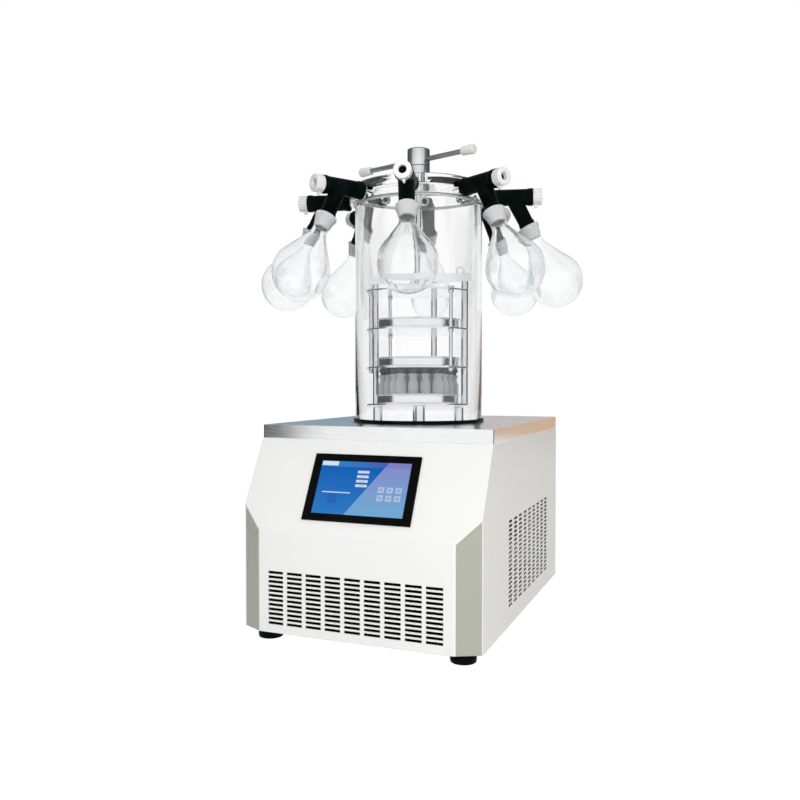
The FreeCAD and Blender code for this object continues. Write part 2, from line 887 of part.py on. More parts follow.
def drain():
    """The melt-water pipe with one bend, its ball valve outside the left panel, and the lever."""
    tube = new_body("drain_tube")
    ring = circles_on(
        tube, "XY_Plane", "drain_ring", ("0", "-drain_forward"), ("drain_radius + drain_wall", "drain_radius")
    )
    ring.setExpression("AttachmentOffset.Base.z", formula("trap_floor"))
    route = path_on(
        tube,
        "XZ_Plane",
        "drain_route",
        [
            ("0", "trap_floor"),
            ("0", "drain_height + drain_bend", "-drain_bend"),
            ("-drain_bend", "drain_height"),
            ("-plate_half - 10", "drain_height"),
        ],
        "drain_forward",
    )
    pipe = tube.newObject("PartDesign::AdditivePipe", "drain_sweep")
    pipe.Profile = ring
    pipe.Spine = (route, ["Edge1", "Edge2", "Edge3"])
    valve_x = "(-plate_half - 8 - valve_long / 2)"
    body = block(
        "drain_valve_block",
        "valve_long",
        "2 * valve_radius",
        "2 * valve_radius",
        x=valve_x,
        y="-drain_forward",
        z="drain_height - valve_radius",
    )
    barb = cone(
        "drain_barb",
        "drain_radius + 3",
        "drain_radius + 1",
        "16",
        x="-plate_half - 8 - valve_long",
        y="-drain_forward",
        z="drain_height",
        turn=ALONG_MINUS_X,
    )
    bonnet = cylinder(
        "drain_bonnet", "6", "6", x=valve_x, y="-drain_forward", z="drain_height + valve_radius"
    )
    bore = cylinder(
        "drain_valve_bore",
        "drain_radius",
        "valve_long + 40",
        x="-plate_half + 5",
        y="-drain_forward",
        z="drain_height",
        turn=ALONG_MINUS_X,
    )
    stem_hole = cylinder(
        "drain_stem_hole",
        "3 + running",
        "valve_radius",
        x=valve_x,
        y="-drain_forward",
        z="drain_height + 6",
    )
    valve = cut("drain_valve", fuse("drain_valve_solid", body, barb, bonnet), bore, stem_hole)
    keep("drain_pipe", fuse("drain_pipe_fuse", tube, valve))
    stem = cylinder(
        "lever_stem", "3", "12", x=valve_x, y="-drain_forward", z="drain_height + valve_radius - 2"
    )
    blade = block(
        "lever_blade",
        "lever_long",
        "12",
        "3",
        x=f"{valve_x} - lever_long / 2 + 8",
        y="-drain_forward",
        z="drain_height + valve_radius + 6.3",
    )
    keep("drain_lever", fuse("drain_lever_fuse", stem, blade))


# Refrigeration


def compressor():
    """A welded steel can with domed ends on a pressed foot."""
    can = turned(
        "compressor_can",
        [
            ("0", "12"),
            ("compressor_radius * 0.7", "12"),
            ("compressor_radius", "34"),
            ("compressor_radius", "compressor_height - compressor_dome"),
            ("compressor_radius * 0.78", "compressor_height - 8"),
            ("0", "compressor_height"),
        ],
    )
    place(can, "-compressor_left", "compressor_back", "tray_top")
    foot = block(
        "compressor_foot",
        "2.1 * compressor_radius",
        "1.5 * compressor_radius",
        "14",
        x="-compressor_left",
        y="compressor_back",
        z="tray_top",
    )
    keep("compressor", fuse("compressor_fuse", can, foot))


def condenser():
    """A finned block behind the front grille: grooves between upright fins on both faces."""
    body = new_body("condenser")
    low = "front_face + 2 * panel_sheet + 4"
    plan = rectangle("-condenser_width / 2", low, "condenser_width", "condenser_deep")
    pad(body, "XY_Plane", "condenser_core", plan, "condenser_high", "tray_top")
    pitch = "((condenser_width - 2 * fin_gap) / fin_count)"
    edge = "-condenser_width / 2 + fin_gap"
    grooves = []
    for name, start in (
        ("front_groove", f"{low} - 1"),
        ("back_groove", f"{low} + condenser_deep - fin_depth"),
    ):
        outline = rectangle(edge, start, f"{pitch} / 2", "fin_depth + 1")
        profile = sketch_on(body, "XY_Plane", name + "_outline", outline, "tray_top + fin_gap")
        groove = body.newObject("PartDesign::Pocket", name)
        groove.Profile = profile
        groove.Reversed = True
        bind(groove, Length="condenser_high - 2 * fin_gap")
        grooves.append(groove)
    fins = body.newObject("PartDesign::LinearPattern", "fins")
    fins.Originals = grooves
    fins.Direction = (grooves[0].Profile[0], ["H_Axis"])
    fins.Mode = "Spacing"
    bind(fins, Offset=pitch, Occurrences="fin_count")
    body.Tip = fins
    keep("condenser", body)


def fan():
    """A shroud plate with the motor on three arms and a five-bladed rotor in its throat."""
    back = "(front_face + 2 * panel_sheet + 4 + condenser_deep)"
    middle = "(tray_top + condenser_high / 2)"
    plate = block(
        "shroud_plate",
        "condenser_width",
        "shroud_thick",
        "condenser_high",
        y=f"{back} + fan_depth + shroud_thick / 2",
        z="tray_top",
    )
    hood = block(
        "shroud_hood",
        "condenser_width",
        "fan_depth",
        "condenser_high",
        y=f"{back} + fan_depth / 2",
        z="tray_top",
    )
    hollow = block(
        "shroud_hollow",
        "condenser_width - 2 * shroud_thick",
        "fan_depth + 2",
        "condenser_high - 2 * shroud_thick",
        y=f"{back} + fan_depth / 2 - 1",
        z="tray_top + shroud_thick",
    )
    throat = cylinder(
        "shroud_throat",
        "fan_radius + 4",
        "3 * shroud_thick",
        y=f"{back} + fan_depth - shroud_thick",
        z=middle,
        turn=ALONG_Y,
    )
    shell = cut("shroud_shell", fuse("shroud_solid", plate, hood), hollow, throat)
    arms = []
    for turn in range(3):
        arms.append(
            block(
                f"motor_arm_{turn + 1}",
                "8",
                "shroud_thick",
                "fan_radius + 12 - motor_radius",
                z="motor_radius + sliding",
                frame=f"placement(vector(0; {back} + fan_depth + 1.5 * shroud_thick; {middle});"
                f" rotation(vector(0; 1; 0); {120 * turn}))",
            )
        )
    ring_outer = cylinder(
        "motor_ring",
        "motor_radius + 4",
        "shroud_thick",
        y=f"{back} + fan_depth + shroud_thick",
        z=middle,
        turn=ALONG_Y,
    )
    ring_hole = cylinder(
        "motor_ring_hole",
        "motor_radius",
        "3 * shroud_thick",
        y=f"{back} + fan_depth",
        z=middle,
        turn=ALONG_Y,
    )
    mount = cut("motor_mount", fuse("motor_spider", ring_outer, *arms), ring_hole)
    keep("fan_shroud", fuse("fan_shroud_fuse", shell, mount))
    can = cylinder(
        "motor_can",
        "motor_radius",
        "motor_long",
        y=f"{back} + fan_depth + shroud_thick",
        z=middle,
        turn=ALONG_Y,
    )
    shaft = cylinder("motor_shaft", "4", "fan_depth + shroud_thick - 5", y=f"{back} + 5", z=middle, turn=ALONG_Y)
    keep("fan_motor", fuse("fan_motor_fuse", can, shaft))
    fan_rotor(back, middle)


def fan_rotor(back, middle):
    hub = cylinder("rotor_hub", "hub_radius", "fan_depth - 5", y=f"{back} + 3", z=middle, turn=ALONG_Y)
    blades = []
    for turn in range(SIZES["blade_count"]):
        blades.append(
            block(
                f"rotor_blade_{turn + 1}",
                "hub_radius * 1.7",
                "2",
                "fan_radius - hub_radius + 4",
                z="0",
                turn="rotation(vector(0; 0; 1); 17)",
                frame=f"placement(vector(0; {back} + 3 + (fan_depth - 5) / 2; {middle});"
                f" rotation(vector(0; 1; 0); 360 / blade_count * {turn}))"
                " * placement(vector(0; 0; hub_radius - 4); rotation(0; 0; 0))",
            )
        )
    bore = cylinder(
        "rotor_bore", "4 + running", "fan_depth + 4", y=f"{back} + 1", z=middle, turn=ALONG_Y
    )
    keep("fan_rotor", cut("fan_rotor_cut", fuse("rotor_solid", hub, *blades), bore))


# Rear services


def power_inlet():
    """A flanged socket with three pins, and the rocker's frame above it, in one moulding."""
    z_low = "(foot_height + inlet_up)"
    flange = block(
        "inlet_flange", "inlet_width", "3", "inlet_height", x="inlet_across", y="plate_back + 1.5", z=z_low
    )
    case = block(
        "inlet_case",
        "inlet_width - 8",
        "22",
        "inlet_height - 8",
        x="inlet_across",
        y="plate_back - 11",
        z=f"{z_low} + 4",
    )
    socket = block("inlet_socket", "25", "17", "17", x="inlet_across", y="plate_back - 5", z=f"{z_low} + 9")
    rocker_room = block(
        "rocker_room",
        "rocker_width + 2 * sliding",
        "17",
        "rocker_height + 2 * sliding",
        x="inlet_across",
        y="plate_back - 5",
        z=f"{z_low} + inlet_height - 10 - rocker_height - sliding",
    )
    moulding = cut("inlet_moulding", fuse("inlet_solid", flange, case), socket, rocker_room)
    pins = []
    for number, (x, z) in enumerate((("-7", "4"), ("0", "8"), ("7", "4")), 1):
        pins.append(
            block(
                f"inlet_pin_{number}",
                "2",
                "14",
                "4",
                x=f"inlet_across + {x}",
                y="plate_back - 7",
                z=f"{z_low} + 9 + {z}",
            )
        )
    keep("power_inlet", fuse("power_inlet_fuse", moulding, *pins))
    middle = f"({z_low} + inlet_height - 10 - rocker_height / 2)"
    rocker = new_body("rocker_key")
    profile = [
        ("rocker_height / 2 - 0.5", "0"),
        ("rocker_height / 2 - 0.5", "3.5"),
        ("0", "1.2"),
        ("-rocker_height / 2 + 0.5", "0.2"),
        ("-rocker_height / 2 + 0.5", "-3"),
        ("-6", "-7"),
        ("6", "-7"),
    ]
    pad(rocker, "YZ_Plane", "rocker_wedge", profile, "rocker_width", midplane=True)
    frame = "placement(vector(inlet_across; plate_back + 1; " + middle + "); rotation(vector(1; 0; 0); -90))"
    place(rocker, frame=frame)
    keep("power_switch", rocker)


# Chamber and lid


def base_gasket():
    ring = turned(
        "base_gasket",
        [
            ("chamber_bore - gasket_lip / 2", "plate_top"),
            ("chamber_radius + gasket_lip", "plate_top"),
            ("chamber_radius + gasket_lip", "chamber_base + 3"),
            ("chamber_radius + sliding", "chamber_base + 3"),
            ("chamber_radius + sliding", "chamber_base"),
            ("chamber_bore - gasket_lip / 2", "chamber_base"),
        ],
    )
    keep("base_gasket", ring)


def drying_chamber():
    tube = turned(
        "drying_chamber",
        [
            ("chamber_bore", "chamber_base + 1"),
            ("chamber_bore + 1", "chamber_base"),
            ("chamber_radius - 1", "chamber_base"),
            ("chamber_radius", "chamber_base + 1"),
            ("chamber_radius", "chamber_top - 1"),
            ("chamber_radius - 1", "chamber_top"),
            ("chamber_bore + 1", "chamber_top"),
            ("chamber_bore", "chamber_top - 1"),
        ],
    )
    keep("drying_chamber", tube)
    middle = "(chamber_radius - chamber_wall / 2)"
    gasket = turned(
        "lid_gasket",
        [
            (f"{middle} - lid_gasket_wide / 2", "chamber_top"),
            (f"{middle} + lid_gasket_wide / 2", "chamber_top"),
            (f"{middle} + lid_gasket_wide / 2", "lid_base"),
            (f"{middle} - lid_gasket_wide / 2", "lid_base"),
        ],
    )
    keep("lid_gasket", gasket)


def port_frame(number):
    """The frame of one port: its -Y points outward along the port, and only the front one is rolled."""
    turn = f"port_first + 360 / port_count * {number}"
    level = f"placement(vector(0; 0; port_height); rotation(vector(0; 0; 1); {turn}))"
    if number:
        return level
    return level + " * placement(vector(0; 0; 0); rotation(vector(0; -1; 0); front_roll))"


def port_copies(item):
    """The item's shape, made with its port at the origin, at each of the ports."""
    doc.recompute()
    copies = []
    for number in range(SIZES["port_count"]):
        copy = item.Shape.copy()
        copy.Placement = sheet.evalExpression(formula(port_frame(number))) * item.Shape.Placement
        copies.append(copy)
    return copies


def manifold_lid():
    """A thick clear disc, hollowed below, with the press gland's hole and the port holes drilled in."""
    disc = turned(
        "lid_disc",
        [
            ("gland_spigot + seat", "lid_top - lid_roof"),
            ("lid_radius - lid_rim - 6", "lid_top - lid_roof", "-6"),
            ("lid_radius - lid_rim", "lid_top - lid_roof - 6"),
            ("lid_radius - lid_rim", "lid_base"),
            ("lid_radius - 2", "lid_base"),
            ("lid_radius", "lid_base + 2"),
            ("lid_radius", "lid_top - 3"),
            ("lid_radius - 3", "lid_top"),
            ("gland_spigot + seat", "lid_top"),
        ],
    )
    drills = []
    for number in range(SIZES["port_count"]):
        drills.append(
            cylinder(
                f"port_drill_{number + 1}",
                "stub_radius + running",
                "lid_rim + 20",
                y="-lid_radius + lid_rim + 10",
                turn=OUTWARD,
                frame=port_frame(number),
            )
        )
    keep("manifold_lid", cut("manifold_lid_cut", disc, *drills))


def port_stubs():
    stub = turned(
        "stub_master",
        [
            ("stub_bore", "stub_start"),
            ("stub_radius", "stub_start"),
            ("stub_radius", "stub_end - 6"),
            ("stub_radius - 1.5", "stub_end"),
            ("stub_bore", "stub_end"),
        ],
    )
    place(stub, turn=OUTWARD)
    group("port_stubs", port_copies(stub))


def valve_bodies():
    """Eight rubber tees: a level tube for stub and plug, and a down arm that the flask hangs on."""
    tube = turned(
        "valve_tube",
        [
            ("0", "valve_start"),
            ("valve_tube_radius - 1.5", "valve_start"),
            ("valve_tube_radius", "valve_start + 1.5"),
            ("valve_tube_radius", "valve_end - 1.5"),
            ("valve_tube_radius - 1.5", "valve_end"),
            ("0", "valve_end"),
        ],
    )
    place(tube, turn=OUTWARD)
    arm = turned(
        "valve_arm",
        [
            ("0", "-arm_length"),
            ("arm_radius - 1", "-arm_length"),
            ("arm_radius", "-arm_length + 1"),
            ("arm_radius", "0"),
            ("0", "0"),
        ],
    )
    place(arm, frame=ARM_FRAME)
    stub_way = cylinder(
        "stub_way",
        "stub_radius + running",
        "stub_end - valve_start + 5",
        y="-valve_start + 4",
        turn=OUTWARD,
    )
    plug_way = cylinder(
        "plug_way",
        "plug_radius + running",
        "valve_end - plug_start + 6",
        y="-plug_start + 0.5",
        turn=OUTWARD,
    )
    link_way = cylinder("link_way", "stub_bore", "20", y="-stub_end + 6", turn=OUTWARD)
    arm_way = cylinder("arm_way", "arm_bore", "arm_length + 1", z="-arm_length - 1", frame=ARM_FRAME)
    grip_way = cylinder(
        "grip_way", "adapter_tube + running", "adapter_grip + 2", z="-arm_length - 1", frame=ARM_FRAME
    )
    tee = cut("valve_tee", fuse("valve_solid", tube, arm), stub_way, plug_way, link_way, arm_way, grip_way)
    group("valve_bodies", port_copies(tee))


def valve_knob(number):
    """The turning plug: a hollow core with a side hole to the arm, and a knob with a pointer tab."""
    name = f"valve_knob_{number + 1}"
    frame = port_frame(number)
    core = turned(
        name + "_turning",
        [
            ("0", "plug_start"),
            ("plug_radius", "plug_start"),
            ("plug_radius", "valve_end + sliding"),
            ("knob_radius", "valve_end + sliding"),
            ("knob_radius", "valve_end + knob_long - 2"),
            ("knob_radius - 2", "valve_end + knob_long"),
            ("knob_recess_radius", "valve_end + knob_long"),
            ("knob_recess_radius", "valve_end + knob_long - knob_recess"),
            ("0", "valve_end + knob_long - knob_recess"),
        ],
    )
    place(core, turn=OUTWARD, frame=frame)
    tab = new_body(name + "_tab")
    point = [
        ("-5", "-knob_radius + 3"),
        ("0", "-knob_radius - knob_tab"),
        ("5", "-knob_radius + 3"),
    ]
    pad(tab, "XZ_Plane", name + "_point", point, "7", "valve_end + sliding + 2")
    place(tab, frame=frame)
    way = cylinder(
        name + "_way",
        "plug_bore",
        "arm_root + arm_bore - plug_start + 6",
        y="-plug_start + 1",
        turn=OUTWARD,
        frame=frame,
    )
    side = cylinder(
        name + "_side",
        "plug_side",
        "plug_radius + 6",
        z="-plug_radius - 6",
        frame=f"{frame} * {ARM_FRAME}",
    )
    keep(name, cut(name + "_cut", fuse(name + "_solid", core, tab), way, side))


def flask_adapters():
    """Eight glass adapters: a tube gripped by the arm, and a ground cone that seats in the flask's collar."""
    adapter = turned(
        "adapter_master",
        [
            ("adapter_bore", "adapter_grip"),
            ("adapter_tube", "adapter_grip"),
            ("adapter_tube", "0"),
            ("collar_bore - seat", "0"),
            ("collar_bore - seat - collar_taper * adapter_cone", "-adapter_cone"),
            ("collar_bore - seat - collar_taper * adapter_cone - adapter_wall", "-adapter_cone"),
            ("collar_bore - seat - adapter_wall - 3", "-adapter_wall"),
            ("adapter_bore", "-adapter_wall"),
        ],
    )
    place(adapter, z="-arm_length", frame=ARM_FRAME)
    group("flask_adapters", port_copies(adapter))


def flask(number):
    """A pear-shaped glass flask: beaded collar, short neck, cone and round bulb, one wall."""
    name = f"flask_{number + 1}"
    body = turned(
        name,
        [
            ("0", "flask_centre - flask_bulb", "flask_bulb"),
            ("flask_bulb", "flask_centre", "flask_bulb"),
            ("flask_bulb * sin(flask_slope)", "flask_centre + flask_bulb * cos(flask_slope)"),
            ("flask_neck", "-flask_tip"),
            ("flask_neck", "-flask_collar_long"),
            ("flask_collar - 2", "-flask_bead - 3"),
            ("flask_collar", "-flask_bead"),
            ("flask_collar", "0"),
            ("collar_bore", "0"),
            ("flask_throat", "-flask_collar_long"),
            ("flask_throat", "flask_centre + throat_rise"),
            ("flask_inside * sin(flask_slope)", "flask_centre + flask_inside * cos(flask_slope)", "-flask_inside"),
            ("flask_inside", "flask_centre", "-flask_inside"),
            ("0", "flask_centre - flask_inside"),
        ],
    )
    place(body, z="-flask_mouth", frame=f"{port_frame(number)} * {ARM_FRAME}")
    keep(name, body)


# Rack


def baffle_plate():
    disc = cylinder("baffle_disc", "baffle_radius", "baffle_thick", z="plate_top")
    holes = [cylinder("baffle_middle", "baffle_centre_hole", "10", z="plate_top - 5")]
    for number in range(8):
        holes.append(
            cylinder(
                f"baffle_hole_{number + 1}",
                "baffle_hole",
                "10",
                x="baffle_hole_ring",
                z="-5",
                frame=f"placement(vector(0; 0; plate_top); rotation(vector(0; 0; 1); {45 * number}))",
            )
        )
    keep("baffle_plate", cut("baffle_plate_cut", disc, *holes))


def rack_frame():
    """The rack's base on four feet, three posts, and the yoke that guides the press rod."""
    foot = cylinder(
        "rack_foot_master",
        "rack_foot_radius",
        "rack_foot_height",
        x="rack_foot_ring",
        z="plate_top + baffle_thick",
    )
    group("rack_feet", turned_copies(foot, "4", "22.5"))
    keep("rack_base", cylinder("rack_base", "rack_radius", "rack_plate", z="rack_base_low"))
    doc.recompute()
    post = cylinder("post_master", "post_radius", "yoke_top - rack_floor", x="post_ring", z="rack_floor")
    doc.recompute()
    axis = FreeCAD.Vector(0, 0, 1)
    group("rack_posts", [post.Shape.rotated(FreeCAD.Vector(), axis, turn) for turn in (0, 90, 180)])
    bar = block("yoke_bar", "2 * post_ring + yoke_wide", "yoke_wide", "yoke_high", z="yoke_low")
    arm = block(
        "yoke_arm",
        "yoke_wide",
        "post_ring + yoke_wide / 2",
        "yoke_high",
        y="(post_ring + yoke_wide / 2) / 2",
        z="yoke_low",
    )
    holes = [cylinder("yoke_guide", "press_rod + sliding", "yoke_high + 10", z="yoke_low - 5")]
    for number in range(3):
        holes.append(
            cylinder(
                f"yoke_post_hole_{number + 1}",
                "post_radius + running",
                "yoke_high + 5",
                x="post_ring",
                z="0",
                frame=f"placement(vector(0; 0; yoke_low - 2); rotation(vector(0; 0; 1); {90 * number}))",
            )
        )
    plain = cut("yoke_plain", fuse("yoke_solid", bar, arm), *holes)
    rings = []
    for side, name in (("-1", "lifting_ring_left"), ("1", "lifting_ring_right")):
        rings.append(
            torus(
                name,
                "ring_radius",
                "ring_wire",
                x=f"{side} * (post_ring - post_radius - ring_inset)",
                y="ring_back",
                z="yoke_top + ring_radius - ring_sunk",
                turn=OUTWARD,
            )
        )
    keep("rack_yoke", fuse("rack_yoke_fuse", plain, *rings))


def shelf_disc():
    """One shelf with holes for the posts and the hanger rods."""
    disc = cylinder("shelf_disc", "rack_radius", "rack_plate")
    holes = []
    for number in range(3):
        holes.append(
            cylinder(
                f"shelf_post_hole_{number + 1}",
                "post_radius + sliding",
                "rack_plate + 4",
                x="post_ring",
                z="-2",
                frame=f"placement(vector(0; 0; 0); rotation(vector(0; 0; 1); {90 * number}))",
            )
        )
    for number, turn in enumerate(("rod_angle", "180 - rod_angle", "180 + rod_angle", "-rod_angle"), 1):
        holes.append(
            cylinder(
                f"shelf_rod_hole_{number}",
                "rod_radius + running",
                "rack_plate + 4",
                x="post_ring",
                z="-2",
                frame=f"placement(vector(0; 0; 0); rotation(vector(0; 0; 1); {turn}))",
            )
        )
    return cut("shelf_master", disc, *holes)


def round_tray(name, floor):
    """A shallow drawn tray."""
    return turned(
        name,
        [
            ("0", floor),
            ("tray_radius - 3", floor, "3"),
            ("tray_radius", f"{floor} + 3"),
            ("tray_radius", f"{floor} + tray_high"),
            ("tray_radius - tray_wall", f"{floor} + tray_high"),
            ("tray_radius - tray_wall", f"{floor} + tray_wall"),
            ("0", f"{floor} + tray_wall"),
        ],
    )


def shelf_stack():
    """Three shelves on four hanger rods, with a bulk tray on each of the lower two."""
    shelf = shelf_disc()
    doc.recompute()
    count = SIZES["shelf_count"]
    pitch = value("shelf_pitch")
    low = value("shelf_low")
    levels = [low + pitch * number for number in range(count)]
    up = [FreeCAD.Vector(0, 0, level) for level in levels]
    group("shelf_plates", [shelf.Shape.translated(step) for step in up])
    tray = round_tray("bulk_tray_master", "0")
    doc.recompute()
    rest = FreeCAD.Vector(0, 0, value("rack_plate"))
    group("bulk_trays", [tray.Shape.translated(step + rest) for step in up[:2]])
    profile = [("0", "-rod_nut_high - 2"), ("rod_radius", "-rod_nut_high - 2")]
    for number in range(count):
        base = f"shelf_pitch * {number}"
        profile += [
            ("rod_radius", f"{base} - rod_nut_high"),
            ("rod_nut_radius", f"{base} - rod_nut_high"),
            ("rod_nut_radius", base),
            ("rod_radius", base),
        ]
    top = f"shelf_pitch * {count - 1} + rack_plate"
    profile += [
        ("rod_radius", top),
        ("rod_nut_radius", top),
        ("rod_nut_radius", f"{top} + rod_nut_high"),
        ("0", f"{top} + rod_nut_high"),
    ]
    rod = turned("hanger_rod_master", profile)
    place(rod, x="post_ring", z="shelf_low")
    doc.recompute()
    turns = [value(text) for text in ("rod_angle", "180 - rod_angle", "180 + rod_angle", "-rod_angle")]
    axis = FreeCAD.Vector(0, 0, 1)
    group("hanger_rods", [rod.Shape.rotated(FreeCAD.Vector(), axis, turn) for turn in turns])


def vial_places():
    """Close-packed places in rings about the middle."""
    pitch = value("vial_pitch")
    rings = SIZES["vial_rings"]
    turn = FreeCAD.Rotation(FreeCAD.Vector(0, 0, 1), value("vial_turn"))
    places = []
    for across in range(-rings, rings + 1):
        for along in range(-rings, rings + 1):
            if abs(across + along) > rings:
                continue
            spot = FreeCAD.Vector(pitch * (across + along / 2), pitch * along * math.sqrt(3) / 2, 0)
            places.append(turn.multVec(spot))
    return places


def vials():
    """A tray of thin-walled vials, each with a stopper that stands half out of its neck."""
    keep("vial_tray", round_tray("vial_tray", "rack_floor"))
    shoulder = "vial_height - vial_lip_high - vial_neck_high"
    vial = turned(
        "vial_master",
        [
            ("0", "0"),
            ("vial_radius - 1.5", "0"),
            ("vial_radius", "1.5"),
            ("vial_radius", f"{shoulder} - vial_shoulder"),
            ("vial_neck", shoulder),
            ("vial_neck", "vial_height - vial_lip_high"),
            ("vial_lip", "vial_height - vial_lip_high"),
            ("vial_lip", "vial_height"),
            ("vial_bore", "vial_height"),
            ("vial_bore", shoulder),
            ("vial_radius - vial_wall", f"{shoulder} - vial_shoulder"),
            ("vial_radius - vial_wall", "2 * vial_wall"),
            ("0", "2 * vial_wall"),
        ],
    )
    stopper = turned(
        "stopper_master",
        [
            ("0", "-stopper_leg_high"),
            ("vial_bore - 1.2", "-stopper_leg_high"),
            ("vial_bore - running", "-stopper_leg_high + 3"),
            ("vial_bore - running", "0"),
            ("stopper_flange", "0"),
            ("stopper_flange", "stopper_flange_high"),
            ("0", "stopper_flange_high"),
        ],
    )
    doc.recompute()
    floor = FreeCAD.Vector(0, 0, value("vial_floor"))
    rise = FreeCAD.Vector(0, 0, value("vial_top + stopper_lift"))
    group("vials", [vial.Shape.translated(spot + floor) for spot in vial_places()])
    group("stoppers", [stopper.Shape.translated(spot + rise) for spot in vial_places()])


# Press


def press():
    """The gland in the lid, the turning hub with its bar, and the rod that the hub screws down."""
    low = "lid_top - lid_roof"
    gland = turned(
        "press_gland",
        [
            ("press_rod + sliding", f"{low} - 4"),
            ("gland_spigot", f"{low} - 4"),
            ("gland_spigot", "lid_top"),
            ("post_outer", "lid_top"),
            ("post_outer", "gland_top"),
            ("hub_spigot + running", "gland_top"),
            ("hub_spigot + running", "gland_top - hub_spigot_long - 1"),
            ("press_rod + sliding", "gland_top - hub_spigot_long - 1"),
        ],
    )
    keep("press_gland", gland)
    rod_top = "bar_height - bar_radius - 3"
    hub = turned(
        "press_hub_body",
        [
            ("press_rod + thread_room", "gland_top - hub_spigot_long"),
            ("hub_spigot", "gland_top - hub_spigot_long"),
            ("hub_spigot", "hub_base"),
            ("post_outer", "hub_base"),
            ("post_outer", "hub_top - 1.5"),
            ("post_outer - 1.5", "hub_top"),
            ("0", "hub_top"),
            ("0", f"{rod_top} + 1"),
            ("press_rod + thread_room", f"{rod_top} + 1"),
        ],
    )
    bar_frame = "placement(vector(0; 0; bar_height); rotation(vector(0; 0; 1); bar_turn))"
    bar_way = cylinder(
        "bar_way",
        "bar_radius + running",
        "4 * post_outer",
        x="-2 * post_outer",
        turn=ALONG_X,
        frame=bar_frame,
    )
    keep("press_hub", cut("press_hub_cut", hub, bar_way))
    bar = cylinder(
        "press_bar",
        "bar_radius",
        "2 * (bar_half - cap_end)",
        x="bar_slide - bar_half + cap_end",
        turn=ALONG_X,
        frame=bar_frame,
    )
    keep("press_bar", bar)
    caps = []
    for side, turn in (("left", ALONG_MINUS_X), ("right", ALONG_X)):
        cap = turned(
            f"bar_cap_{side}",
            [
                ("0", "bar_half"),
                ("cap_radius - 2", "bar_half"),
                ("cap_radius", "bar_half - 2"),
                ("cap_radius - 1", "bar_half - cap_long"),
                ("bar_radius + running", "bar_half - cap_long"),
                ("bar_radius + running", "bar_half - cap_end"),
                ("0", "bar_half - cap_end"),
            ],
        )
        caps.append(place(cap, x="bar_slide", turn=turn, frame=bar_frame))
    doc.recompute()
    group("bar_caps", [cap.Shape for cap in caps])
    rod = turned(
        "press_rod_turning",
        [
            ("0", "shelf_top_face"),
            ("press_foot", "shelf_top_face"),
            ("press_foot", "shelf_top_face + press_foot_high"),
            ("press_rod", "shelf_top_face + press_foot_high"),
            ("press_rod", rod_top),
            ("0", rod_top),
        ],
    )
    keep("press_rod", rod)


def build():
    fill_sheet()
    top_plate()
    front_panel()
    corner_panels()
    side_panels()
    rear_panel()
    base_tray()
    feet()
    touch_screen()
    cold_trap()
    drain()
    compressor()
    condenser()
    fan()
    power_inlet()
    base_gasket()
    drying_chamber()
    manifold_lid()
    port_stubs()
    valve_bodies()
    flask_adapters()
    for number in range(SIZES["port_count"]):
        valve_knob(number)
        flask(number)
    baffle_plate()
    rack_frame()
    shelf_stack()
    vials()
    press()
    doc.recompute()


def check():
    """Every object is computed, and every sub-part is whole."""
    for item in doc.Objects:
        if "Invalid" in item.State or "Error" in item.State:
            raise RuntimeError(f"{item.Label} failed: {item.State}")
    for name, item in parts.items():
        if item.Shape.isNull() or not item.Shape.isValid() or not item.Shape.Solids:
            raise RuntimeError(f"{name} isn't a valid solid")


def write():
    os.makedirs("parts", exist_ok=True)
    for name, item in parts.items():
        item.Shape.exportStep(f"parts/{name}.step")


build()
check()
write()
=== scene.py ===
"""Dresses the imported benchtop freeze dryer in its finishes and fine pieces, and sets it in a plain pale studio."""

import logging
import math
from collections.abc import Callable, Iterable, Mapping, Sequence
from dataclasses import dataclass
from enum import Enum
from typing import ClassVar

import bmesh
import bpy
from mathutils import Matrix, Vector


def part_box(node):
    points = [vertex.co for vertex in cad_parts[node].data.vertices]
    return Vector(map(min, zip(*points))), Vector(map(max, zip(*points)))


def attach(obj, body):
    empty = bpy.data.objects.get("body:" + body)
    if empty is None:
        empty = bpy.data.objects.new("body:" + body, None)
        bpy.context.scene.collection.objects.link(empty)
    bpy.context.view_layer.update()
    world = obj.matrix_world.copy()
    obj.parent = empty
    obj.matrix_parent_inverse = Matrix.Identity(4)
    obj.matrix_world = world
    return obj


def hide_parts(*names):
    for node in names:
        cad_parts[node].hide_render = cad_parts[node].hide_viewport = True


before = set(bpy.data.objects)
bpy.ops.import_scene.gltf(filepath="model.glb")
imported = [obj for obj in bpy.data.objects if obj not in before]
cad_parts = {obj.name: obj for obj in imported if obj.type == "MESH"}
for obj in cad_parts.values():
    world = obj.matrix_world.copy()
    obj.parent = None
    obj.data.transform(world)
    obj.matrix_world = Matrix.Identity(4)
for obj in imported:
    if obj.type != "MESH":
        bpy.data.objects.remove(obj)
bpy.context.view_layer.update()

LOG = logging.getLogger("freeze_dryer")
Colour = tuple[float, float, float, float]
Socket = bpy.types.NodeSocket
Node = bpy.types.Node
Group = bpy.types.NodeTree
Material = bpy.types.Material
Thing = bpy.types.Object
Vert = bmesh.types.BMVert
Face = bmesh.types.BMFace
Feed = Socket | float | Sequence[float]
Feeds = dict[str | int, Feed]
MM = 0.001
FULL_TURN = 2 * math.pi
WHITE: Colour = (1.0, 1.0, 1.0, 1.0)
BLACK: Colour = (0.0, 0.0, 0.0, 1.0)


def tone(red: int, green: int, blue: int) -> Colour:
    """A screen colour from 0 to 255 as linear light."""
    light = [((c / 255 + 0.055) / 1.055) ** 2.4 if c > 10 else c / 255 / 12.92 for c in (red, green, blue)]
    return (*light, 1.0)


class Body(Enum):
    """The bodies of the frame that new pieces ride on."""

    FRAME = "frame"
    PRESS = "press_handle"
    SHELVES = "shelf_stack"
    STOPPERS = "stoppers"


